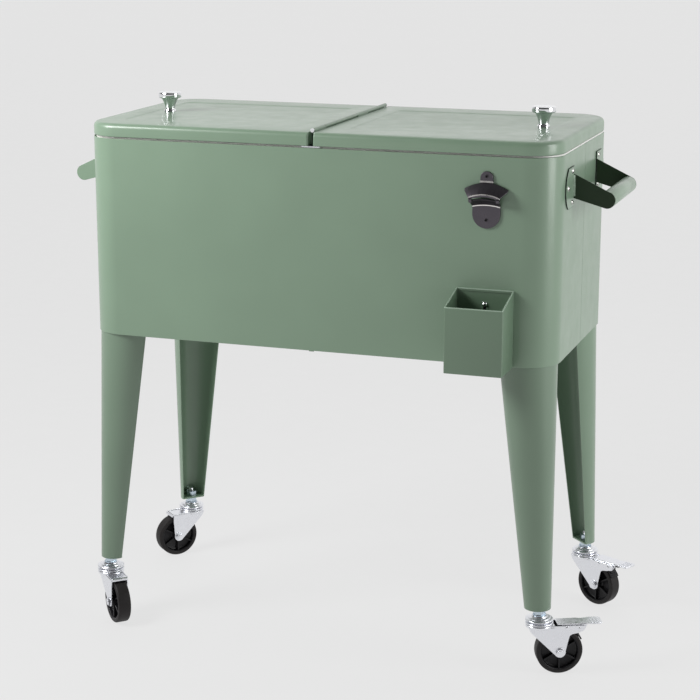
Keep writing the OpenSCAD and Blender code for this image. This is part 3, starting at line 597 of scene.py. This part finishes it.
for side, turn in (("right", TO_ROW), ("left", TO_ROW @ MIRROR_X)):
    node = "handle_" + side
    brackets = [node + "_brackets"]
    # The right-hand handle's arms are painted near-black green as painted shade; the left's keep the plain
    # green.
    coat = painted_shade_green if side == "right" else green
    piece(node + "_arm_pair", arms(), coat, "cart", brackets, 0.5, place=turn)
    piece(node + "_flange_pair", flanges(), green, "cart", brackets, 0.3, place=turn)
    # A black sliver at each flange's edge: painted shadow.
    piece(node + "_flange_shadow_edges", flange_shadow_edges(), black, "cart", brackets, place=turn)
    piece(node + "_bar", grip(), green, "cart", [node + "_grip"], place=turn)

# ---------------------------------------------------------------- bottle opener

opener_lo, opener_hi = local_box("bottle_opener")
OPENER_X = (opener_lo.x + opener_hi.x) / 2
OPENER_Z = opener_lo.z
WALL_Y = -HALF_D
PLATE_T, HOOD_T, EDGE_T = 3, 2.4, 0.8
TAB_R, TAB_LOW, TAB_Z = 10, 66, 77
PLATE_R, PLATE_SIDE_Z, PLATE_TOP_Z = 21.75, 33, 35.5
OPENER_SCREWS_Z = (13, 79.5)
# Rows across the opener: half width, distance from the wall, height at the middle, fall at the ends
HOOD_ROWS = ((34.5, 3.2, 70, 10), (33.0, 8.0, 66, 9), (29.0, 14, 60.5, 7), (24.5, 19, 54.5, 5.5))
LIP_ROWS = (HOOD_ROWS[-1], (24.0, 18.9, 52, 5.5), (23.6, 18.3, 50, 5.0))
CHIN_ROWS = ((23.6, 17.2, 46.0, 3.0), (22.8, 11, 41, 3.0), (PLATE_R, 3.2, 36, 2.5))
# Side strips of the mouth: half width, distance from the wall, height
MOUTH_ROWS = ((23.6, 18.6, 47), (23.6, 17.9, 44.5), (23.4, 16.2, 42))
MOUTH_W = 4.5


def opener_point(x, out, z):
    return (OPENER_X + x, WALL_Y - out, OPENER_Z + z)


def opener_row(half, out, z, arch, steps=16):
    row = []
    for i in range(steps + 1):
        u = 2 * i / steps - 1
        row.append((half * u, out, z - arch * u * u))
    return row


def sheet_between(bm, rows, thickness):
    """Thick curved sheet through rows of points, thickness measured along its own normal."""
    grid = [[Vector(opener_point(*p)) for p in row] for row in rows]
    front, back = [], []
    for r, row in enumerate(grid):
        up, down = grid[max(r - 1, 0)], grid[min(r + 1, len(grid) - 1)]
        line_front, line_back = [], []
        for i, point in enumerate(row):
            across = row[min(i + 1, len(row) - 1)] - row[max(i - 1, 0)]
            along = down[i] - up[i]
            normal = along.cross(across).normalized()
            line_front.append(bm.verts.new(point))
            line_back.append(bm.verts.new(point - normal * thickness))
        front.append(line_front)
        back.append(line_back)
    last_r, last_i = len(grid) - 1, len(grid[0]) - 1
    for r in range(last_r):
        for i in range(last_i):
            bm.faces.new((front[r][i], front[r][i + 1], front[r + 1][i + 1], front[r + 1][i]))
            bm.faces.new((back[r][i], back[r + 1][i], back[r + 1][i + 1], back[r][i + 1]))
        for i in (0, last_i):
            bm.faces.new((front[r][i], front[r + 1][i], back[r + 1][i], back[r][i]))
    for i in range(last_i):
        for r in (0, last_r):
            bm.faces.new((front[r][i], back[r][i], back[r][i + 1], front[r][i + 1]))


opener = bmesh.new()
opener_place = Matrix.Translation((OPENER_X, WALL_Y, OPENER_Z)) @ SIDEWAYS
tab = [(TAB_R, TAB_LOW), *arc(0, TAB_Z, TAB_R, 0, 180, 16), (-TAB_R, TAB_LOW)]
prism(opener, tab, 0, PLATE_T, opener_place)
crest = PLATE_TOP_Z - PLATE_SIDE_Z
plate = arc(0, PLATE_R, PLATE_R, 180, 360, 28) + [(PLATE_R, PLATE_SIDE_Z)]
plate += [(x, PLATE_TOP_Z - crest * (x / PLATE_R) ** 2) for x in (15, 8, 0, -8, -15)]
plate.append((-PLATE_R, PLATE_SIDE_Z))
prism(opener, plate, 0, PLATE_T, opener_place)
for sheet_rows in (HOOD_ROWS, LIP_ROWS, CHIN_ROWS):
    sheet_between(opener, [opener_row(*row) for row in sheet_rows], HOOD_T)
for side in (-1, 1):
    strip = [[(side * (half - w), out, z) for w in (0, MOUTH_W)] for half, out, z in MOUTH_ROWS]
    sheet_between(opener, strip, HOOD_T * side)
piece("opener_plate", opener, brushed, "cart", ["bottle_opener"], 0.45, 3)

# Black crosses on the opener's two screws: painted shade in their cross recesses
recess = bmesh.new()
for z in OPENER_SCREWS_Z:
    for turn in (0, 90):
        spin = opener_place @ Matrix.Translation((0, z, 0)) @ Matrix.Rotation(math.radians(turn + 20), 4, "Z")
        cuboid(recess, -2.2, 2.2, -0.75, 0.75, PLATE_T + 1.6, PLATE_T + 2.55, spin)
piece("opener_screw_recess_shades", recess, black, "cart", ["opener_screws"])

# Painted highlights: bright strips along the hood's front, the fold under the tab and the chin's foot
edge = bmesh.new()
sheet_between(edge, [opener_row(24.6, 19.3, 55.0, 5.5), opener_row(24.4, 19.6, 53.2, 5.5)], EDGE_T)
sheet_between(edge, [opener_row(10.2, 3.3, 73.0, 0.4, 6), opener_row(10.4, 4.6, 70.4, 0.4, 6)], EDGE_T)
sheet_between(edge, [opener_row(21.6, 4.2, 37.0, 2.5), opener_row(21.6, 3.5, 34.8, 2.5)], EDGE_T)
piece("opener_painted_edge_highlights", edge, bright_steel_and_highlight, "cart", [], 0.25)

# ---------------------------------------------------------------- cap box

box_lo, box_hi = local_box("cap_box")
BOX_T, BOX_R = 1.2, 2.0
BOX_FRONT_TOP = box_lo.z + 102
HEM_T, HEM_H = 2.2, 4.5
HEM_TOP = 1.1           # height of the rim that catches the light
HEM_ROUND = 0.4
HEM_GAP = 0.02          # the hem stops this far above the sheet under it
KEY_Z, KEY_DROP = 598, 12
KEY_EDGE = 2.0          # width of the pressed edge round the keyhole
KEY_SLOT_R, KEY_EYE_R = 2.3, 5.0


def box_top(y):
    """Height of the box's sloping rim at depth y."""
    share = (box_hi.y - y) / (box_hi.y - box_lo.y)
    return box_hi.z + (BOX_FRONT_TOP - box_hi.z) * share


def box_outline(inset):
    radius = max(BOX_R - inset, 0.4)
    return rounded_box(box_lo.x + inset, box_hi.x - inset, box_lo.y + inset, box_hi.y - inset,
                       radius, radius, 4)


def box_ring(inset, down=0.0, z=None):
    return [(x, y, z if z is not None else box_top(y) - down) for x, y in box_outline(inset)]


cap_box = bmesh.new()
rings = [
    box_ring(0.5, z=box_lo.z), box_ring(0.0, z=box_lo.z + 0.6), box_ring(0.0, HEM_TOP),
    box_ring(HEM_T, HEM_TOP), box_ring(HEM_T, HEM_H - HEM_ROUND), box_ring(BOX_T, HEM_H),
    box_ring(BOX_T, z=box_lo.z + BOX_T + 0.8), box_ring(BOX_T + 0.8, z=box_lo.z + BOX_T),
]
loft(cap_box, rings)
hem = bmesh.new()
hem_rings = [
    box_ring(0.0, HEM_TOP - HEM_GAP), box_ring(0.0, HEM_ROUND), box_ring(HEM_ROUND, 0.0),
    box_ring(HEM_T - HEM_ROUND, 0.0), box_ring(HEM_T, HEM_ROUND), box_ring(HEM_T, HEM_TOP - HEM_GAP),
]
loft(hem, hem_rings, loop=True)
# The hem is painted a lighter green: painted highlight along the rim's top.
piece("cap_catcher_hem", hem, highlight_hem_green, "cap_box", ["cap_box"], smooth=40)


def keyhole_outline(grow, start, end):
    """Slot and eye, grown by grow. start and end are the angles where the eye's arc meets the slot."""
    x = (box_lo.x + box_hi.x) / 2
    slot = arc(x, KEY_Z, KEY_SLOT_R + grow, 0, 180, 12)
    return slot + arc(x, KEY_Z - KEY_DROP, KEY_EYE_R + grow, start, end, 24)


# Keyhole: an edge pressed up round the screw's slot and eye, and a black plate inside it as painted shade of
# the opening
key_outer, key_inner = keyhole_outline(KEY_EDGE, 142, 398), keyhole_outline(0, 117, 423)
key_y = -box_hi.y + BOX_T
prism(cap_box, key_outer, key_y, key_y + 0.5, SIDEWAYS, holes=[key_inner])
# The cap catcher is painted a darker copy of the green as painted shade.
piece("cap_catcher", cap_box, shaded_box_green, "cap_box", ["cap_box"], smooth=40)
keyhole = bmesh.new()
prism(keyhole, key_inner, key_y - 0.2, key_y + 0.1, SIDEWAYS)
piece("cap_catcher_keyhole_shade", keyhole, black, "cap_box", [])

# ---------------------------------------------------------------- legs

FOOT = Vector((370, 166, 107))
HIP = Vector((340.5, 143.5, 502))
FOOT_R, HIP_R, LEG_T = 21.5, 46.0, 1.6
LEG_TOP = 514
LEG_WRAP = 108          # half of the angle that the shell covers
LEG_STEPS = 36
LEG_PLATE_T, FOOT_CHORD, HIP_CHORD = 3, 7.5, 26

leg_axis = (HIP - FOOT).normalized()
leg_flare = (HIP_R - FOOT_R) / (HIP - FOOT).length
leg_out = Vector((1, 1, 0)).normalized()
leg_out = (leg_out - leg_axis * leg_out.dot(leg_axis)).normalized()
leg_side = leg_axis.cross(leg_out)


def leg_point(angle, z, thickness):
    """Point of the leaning cone, thickness inside its outer surface, at height z."""
    ray = math.cos(angle) * leg_out + math.sin(angle) * leg_side
    foot_r = FOOT_R - thickness
    along = (z - FOOT.z - foot_r * ray.z) / (leg_axis.z + leg_flare * ray.z)
    return FOOT + leg_axis * along + ray * (foot_r + leg_flare * along)


def leg():
    """Round shell, open at the inner side, with a plate at the foot and one at the hip."""
    bm = bmesh.new()
    angles = [math.radians(LEG_WRAP) * (2 * i / LEG_STEPS - 1) for i in range(LEG_STEPS + 1)]
    rings = []
    for z in (FOOT.z, FOOT.z + 30, 200, 300, 400, LEG_TOP - 30, LEG_TOP):
        outer = [leg_point(a, z, 0) for a in angles]
        inner = [leg_point(a, z, LEG_T) for a in reversed(angles)]
        rings.append(outer + inner)
    loft(bm, rings)
    for z, chord in ((FOOT.z, FOOT_CHORD), (LEG_TOP - LEG_PLATE_T, HIP_CHORD)):
        level = FOOT.lerp(HIP, (z + LEG_PLATE_T / 2 - FOOT.z) / (HIP.z - FOOT.z))
        radius = FOOT_R + (HIP_R - FOOT_R) * (z - FOOT.z) / (HIP.z - FOOT.z) - LEG_T / 2
        reach = 180 - math.degrees(math.acos(chord / radius))
        outline = arc(level.x, level.y, radius, 45 - reach, 45 + reach, 40)
        prism(bm, outline, z + 0.1, z + LEG_PLATE_T - 0.05)
    return bm


CORNERS = {"fl": MIRROR_X @ MIRROR_Y, "fr": MIRROR_Y, "bl": MIRROR_X, "br": Matrix()}
for corner, flip in CORNERS.items():
    # Front legs get the darker copy of the green as painted shade.
    coat = shaded_leg_green if corner.startswith("f") else green
    place = TO_ROW @ flip
    piece("leg_shell_" + corner, leg(), coat, "cart", ["leg_" + corner], 0.5, place=place)

# ---------------------------------------------------------------- casters

WHEEL_R, WHEEL_W, AXLE_Z = 37.5, 22, 37.5
CROWN_Z0, CROWN_Z1 = 78, 83
CHEEK_Y, CHEEK_T = 13, 2
FORK_Y = CHEEK_Y + CHEEK_T              # outside of the fork's cheeks
BOSS_R = 9
KINGPIN_R = 6
AXLE_R, AXLE_NUT, WASHER_R, WASHER_T = 4, 12, 6.6, 0.5
STEM_R, STEM_TOP = 5, 124
THREAD_TURNS = 12
RACE_Z0, RACE_Z1, RACE_R = 83.5, 97, 22.5
PIVOT, FLAP_RIVET = (42, 78), (62, 76)
PIVOT_R = 2.5
PEDAL_Z, PEDAL_T = 82.5, 2
RIDGES_X = (83, 88, 93)
HUB_HALF, RIBS, RIB_HALF = 12.4, 6, 1.2
TREAD_ROUND = 3.2
SHOE_IN, SHOE_OUT, SHOE_HALF, SHOE_TOOTH = WHEEL_R + 0.6, WHEEL_R + 3.2, 9, 0.8
SHOE_START, SHOE_END, SHOE_TEETH = 28, 58, 12


def caster_place(corner):
    """Matrix from the caster's millimetres to the row frame, and the trail's length."""
    swivel = Vector(joints["swivel_" + corner]["pos_m"])
    axle = Vector(joints["wheel_spin_" + corner]["pos_m"])
    trail = Vector((axle.x - swivel.x, axle.y - swivel.y))
    turn = Matrix.Rotation(math.atan2(trail.y, trail.x), 4, "Z")
    return Matrix.Translation((swivel.x, swivel.y, 0)) @ turn @ Matrix.Scale(MM, 4), trail.length / MM


def caster_mount():
    """Raceway: two pressed cups with a rolled joint between them, threaded stem and kingpin."""
    bm = bmesh.new()
    lower = arc(RACE_R - 1.6, RACE_Z0 + 1.7, 1.6, -90, 90, 8)
    upper = arc(RACE_R - 1.5, RACE_Z0 + 6.9, 1.5, -90, 80, 8)
    thread = []
    for i in range(THREAD_TURNS):
        z = RACE_Z1 + (STEM_TOP - 1 - RACE_Z1) * i / THREAD_TURNS
        thread += [(STEM_R, z + 0.3), (STEM_R - 0.5, z + 1.4)]
    profile = [(0, RACE_Z0), *lower, (RACE_R - 4.5, RACE_Z0 + 3.6), (RACE_R - 4.5, RACE_Z0 + 5.4), *upper,
               (17.6, RACE_Z0 + 8.7), (17.0, RACE_Z0 + 10.6), (13.2, RACE_Z0 + 11.4),
               (12.5, RACE_Z1 - 0.3), (STEM_R + 1, RACE_Z1), *thread, (STEM_R - 0.8, STEM_TOP), (0, STEM_TOP)]
    lathe(bm, profile, 64)
    head = [(0, 75.7), (6.5, 75.7), (8.4, 76.3), (9, 77.2), (8.8, 77.5)]
    lathe(bm, [*head, (KINGPIN_R, 77.5), (KINGPIN_R, RACE_Z0), (0, RACE_Z0)], 40)
    return bm


def cheek_outline(trail, braked):
    """Cheek seen from the side: broad at the crown, round about the axle; braked ones carry a rear flap."""
    front = [(-18.4, CROWN_Z1 - 1), (-18.8, CROWN_Z1 - 4), (-15.5, CROWN_Z0 - 6)]
    boss = arc(trail, AXLE_Z, BOSS_R, 218, 372, 18)
    if braked:
        rear = [(45.5, 60), (47, 65), (51, 67.5), (60, 69), (69, 73), (72, 77), (71.5, 80.5), (68, 81.5)]
    else:
        rear = [(43.0, 68), (42.5, 76), (41.5, CROWN_Z1 - 2)]
    return front + boss + rear


def fork(trail, braked):
    bm = bmesh.new()
    crown = [(KINGPIN_R + 0.1, CROWN_Z0), (21.4, CROWN_Z0), (22, CROWN_Z0 + 0.7), (22, CROWN_Z1 - 1.2),
             (21.2, CROWN_Z1 - 0.3), (20, CROWN_Z1), (KINGPIN_R + 0.1, CROWN_Z1)]
    lathe(bm, crown, 56, loop=True)
    top = rounded_box(-6, 24 if braked else 44, -FORK_Y, FORK_Y, 2, 2, 3)
    prism(bm, top, CROWN_Z0, CROWN_Z0 + 2.5, holes=[circle(0, 0, 10, 24)])
    if not braked:
        lip = [(44, 75.8), (45.6, 75.6), (46.0, 77), (45.4, 79.6)]
        lip += [(44, CROWN_Z0 + 2.5), (42, CROWN_Z0 + 2.5), (43.4, 79)]
        prism(bm, lip, -FORK_Y + 1.5, FORK_Y - 1.5, SIDEWAYS)
    for y in (-FORK_Y, CHEEK_Y):
        prism(bm, cheek_outline(trail, braked), y, y + CHEEK_T, SIDEWAYS)
        # Pressed boss round the axle
        outer = y + CHEEK_T + 0.5 if y > 0 else y - 0.5
        prism(bm, circle(trail, AXLE_Z, BOSS_R - 2, 28), min(y, outer), max(y + CHEEK_T, outer), SIDEWAYS)
    return bm


def hexagon(cx, cy, across):
    return arc(cx, cy, across / math.sqrt(3), 0, 300, 5)


def axle_set(trail, braked):
    """Axle bolt with a hexagon head, a nut and washers; braked forks add their rivets."""
    bm = bmesh.new()
    prism(bm, circle(trail, AXLE_Z, AXLE_R, 28), -FORK_Y - 5, FORK_Y + 4.6, SIDEWAYS)
    for z0, z1 in ((-FORK_Y - 4, -FORK_Y - WASHER_T), (FORK_Y + WASHER_T, FORK_Y + 4)):
        prism(bm, hexagon(trail, AXLE_Z, AXLE_NUT), z0, z1, SIDEWAYS)
        washer = (z1, z1 + WASHER_T) if z0 < 0 else (z0 - WASHER_T, z0)
        prism(bm, circle(trail, AXLE_Z, WASHER_R, 28), *washer, SIDEWAYS)
    if braked:
        dome = [(0, -2.0), (PIVOT_R, -2.0), (2.9, 0), (2.6, 0.6), (1.6, 0.95), (0, 1.05)]
        for x, z in (PIVOT, FLAP_RIVET):
            for sign in (-1, 1):
                outward = Matrix.Rotation(math.radians(-90 * sign), 4, "X")
                lathe(bm, dome, 20, turn=Matrix.Translation((x, sign * FORK_Y, z)) @ outward)
        prism(bm, circle(*PIVOT, PIVOT_R, 20), -FORK_Y, FORK_Y, SIDEWAYS)
    return bm


def wheel_turn(trail):
    return Matrix.Translation((trail, 0, AXLE_Z)) @ SIDEWAYS


def wheel_core(trail):
    """Moulded centre: hub, dished web with ribs, and the rim's inside."""
    half = WHEEL_W / 2
    hub = [(AXLE_R + 0.06, HUB_HALF), (8.2, HUB_HALF), (9.2, 11.6)]
    web = [(9.8, 4.6), (11.5, 3.2), (26.5, 2.8), (28.6, 4.0)]
    one_side = [*hub, *web, (29.4, half - 1.6), (30.4, half - 0.5), (32.0, half - 0.2)]
    bm = bmesh.new()
    lathe(bm, mirrored(one_side), 72, loop=True, turn=wheel_turn(trail))
    for i in range(RIBS):
        spin = wheel_turn(trail) @ Matrix.Rotation(math.radians(360 / RIBS * i + 30), 4, "Z")
        for z0, z1 in ((2, 8.6), (-8.6, -2)):
            cuboid(bm, 8.5, 29, -RIB_HALF, RIB_HALF, z0, z1, spin)
    return bm


def wheel_tread(trail):
    half = WHEEL_W / 2
    bm = bmesh.new()
    crown = arc(WHEEL_R - TREAD_ROUND, half - TREAD_ROUND, TREAD_ROUND, 90, 0, 8)
    one_side = [(30.5, 3.0), (31.0, half - 0.9), (31.6, half - 0.05), *crown[1:]]
    lathe(bm, mirrored(one_side), 96, loop=True, turn=wheel_turn(trail))
    return bm


def pedal():
    """Folded pedal: a waisted plate with side flanges and ridges across its wide tip."""
    bm = bmesh.new()
    waist = [(27, -12.2), (60, -12.2), (68, -10.5), (78, -12.5)]
    tip = [(84, -14), (96, -14), (98.5, -12.5), (100, -9)]
    prism(bm, mirrored(waist + tip), PEDAL_Z, PEDAL_Z + PEDAL_T)
    for x in RIDGES_X:
        prism(bm, rounded_box(x - 1, x + 1, -11.5, 11.5, 0.8, 0.8, 4), PEDAL_Z + 1.8, PEDAL_Z + 2.9)
    side_low = [(34, 76.8), (44, 76.2), (53, 74.2), (62, 69), (68, 70.5), (73, 77)]
    side = [(34, PEDAL_Z + 1), *side_low, (76, PEDAL_Z + 1)]
    for y in (-12.3, 10.3):
        prism(bm, side, y, y + PEDAL_T, SIDEWAYS)
    return bm


def shoe(trail):
    """Curved brake block with a toothed back, on its post."""
    bm = bmesh.new()
    outer = []
    for i in range(SHOE_TEETH + 1):
        angle = SHOE_START + (SHOE_END - SHOE_START) * i / SHOE_TEETH
        outer.append(on_circle(trail, AXLE_Z, SHOE_OUT - (SHOE_TOOTH if i % 2 else 0), angle))
    inner = arc(trail, AXLE_Z, SHOE_IN, SHOE_END, SHOE_START, 16)
    prism(bm, outer + inner, -SHOE_HALF, SHOE_HALF, SIDEWAYS)
    post = [(trail + 26, 66.5), (trail + 31, 62), (trail + 31, PEDAL_Z), (trail + 26, PEDAL_Z)]
    prism(bm, post, -6, 6, SIDEWAYS)
    return bm


for corner in CORNERS:
    place, trail = caster_place(corner)
    braked = corner.endswith("r")
    fork_body, wheel_body = "fork_" + corner, "wheel_" + corner
    piece("race_" + corner, caster_mount(), zinc, "cart",
          ["caster_mount_" + corner], smooth=25, place=place)
    piece("fork_sheet_" + corner, fork(trail, braked), zinc, fork_body,
          [fork_body], 0.5, 3, place=place)
    piece("axle_set_" + corner, axle_set(trail, braked), zinc, fork_body,
          ["axle_" + corner], 0.4, place=place)
    piece("wheel_core_" + corner, wheel_core(trail), black, wheel_body,
          [wheel_body], 0.3, place=place)
    piece("wheel_tread_" + corner, wheel_tread(trail), tread, wheel_body,
          [wheel_body], place=place)
    if braked:
        pedal_body = "pedal_" + corner
        piece("pedal_plate_" + corner, pedal(), zinc, pedal_body,
              ["brake_pedal_" + corner], 0.5, 3, place=place)
        piece("brake_block_" + corner, shoe(trail), black, pedal_body,
              ["brake_shoe_" + corner], 0.3, place=place)

# ---------------------------------------------------------------- floor, light, camera

FLOOR_HALF = 40.0
FLOOR_GLOW = 0.715
WORLD_LEVELS = ((0.0, 0.06), (0.45, 0.12), (0.75, 0.68), (1.0, 0.82))
WORLD_STRENGTH = 1.15
CAMERA_AT = Vector((1.0089, -2.9268, 1.2221))
CAMERA_YAW, CAMERA_PITCH = 0.33237, 0.24192
CAMERA_LENS, SENSOR_W = 97.493, 36


def make_floor():
    bm = bmesh.new()
    bmesh.ops.create_grid(bm, x_segments=8, y_segments=8, size=FLOOR_HALF)
    data = bpy.data.meshes.new("floor")
    bm.to_mesh(data)
    bm.free()
    s = Shader("pale_floor", Specular_IOR_Level=0.1, Emission_Strength=FLOOR_GLOW)
    s.colour(s.ramp(s.noise(1.5, 3.0), 0.068, 0.072))
    s.roughness(s.ramp(s.noise(20.0), 0.8, 0.9))
    s.main.inputs["Emission Color"].default_value = (1, 1, 1, 1)
    s.bump((s.noise(300.0), 0.05, 0.0005))
    data.materials.append(s.material)
    obj = bpy.data.objects.new("floor", data)
    scene.collection.objects.link(obj)


def softbox(name, at, target, width, height, power):
    light = bpy.data.lights.new(name, "AREA")
    light.shape = "RECTANGLE"
    light.size, light.size_y = width, height
    light.energy = power
    obj = bpy.data.objects.new(name, light)
    scene.collection.objects.link(obj)
    obj.location = ORIGIN + Vector(at)
    direction = ORIGIN + Vector(target) - obj.location
    obj.rotation_euler = direction.to_track_quat("-Z", "Y").to_euler()


make_floor()
softbox("key_left", at=(-1.2, -1.0, 1.5), target=(-0.25, 0, 0.7), width=0.7, height=0.7, power=32)
softbox("side_right", at=(2.2, -0.2, 1.1), target=(0.35, 0, 0.6), width=0.9, height=1.4, power=25)
softbox("overhead", at=(0.2, 0.9, 2.8), target=(0.1, 0.1, 0.8), width=2.0, height=1.2, power=5)


def make_world():
    """Studio surround: dark behind the camera, bright behind the object."""
    world = bpy.data.worlds.new("studio")
    world.use_nodes = True
    tree = world.node_tree
    place = tree.nodes.new("ShaderNodeTexCoord")
    split = tree.nodes.new("ShaderNodeSeparateXYZ")
    depth = tree.nodes.new("ShaderNodeMapRange")
    depth.inputs["From Min"].default_value = -1
    ramp = tree.nodes.new("ShaderNodeValToRGB")
    while len(ramp.color_ramp.elements) < len(WORLD_LEVELS):
        ramp.color_ramp.elements.new(0.5)
    for element, (at, grey) in zip(ramp.color_ramp.elements, WORLD_LEVELS):
        element.position = at
        element.color = (grey, grey, grey, 1)
    tree.links.new(place.outputs["Generated"], split.inputs["Vector"])
    tree.links.new(split.outputs["Y"], depth.inputs["Value"])
    tree.links.new(depth.outputs["Result"], ramp.inputs["Fac"])
    tree.links.new(ramp.outputs["Color"], tree.nodes["Background"].inputs["Color"])
    tree.nodes["Background"].inputs["Strength"].default_value = WORLD_STRENGTH
    scene.world = world


make_world()
scene.view_settings.view_transform = "Standard"

camera_data = bpy.data.cameras.new("camera")
camera_data.sensor_width = SENSOR_W
camera_data.lens = CAMERA_LENS
camera = bpy.data.objects.new("camera", camera_data)
scene.collection.objects.link(camera)
camera.location = ORIGIN + CAMERA_AT
camera.rotation_euler = (math.pi / 2 - CAMERA_PITCH, 0, CAMERA_YAW)
scene.camera = camera

bpy.context.view_layer.update()
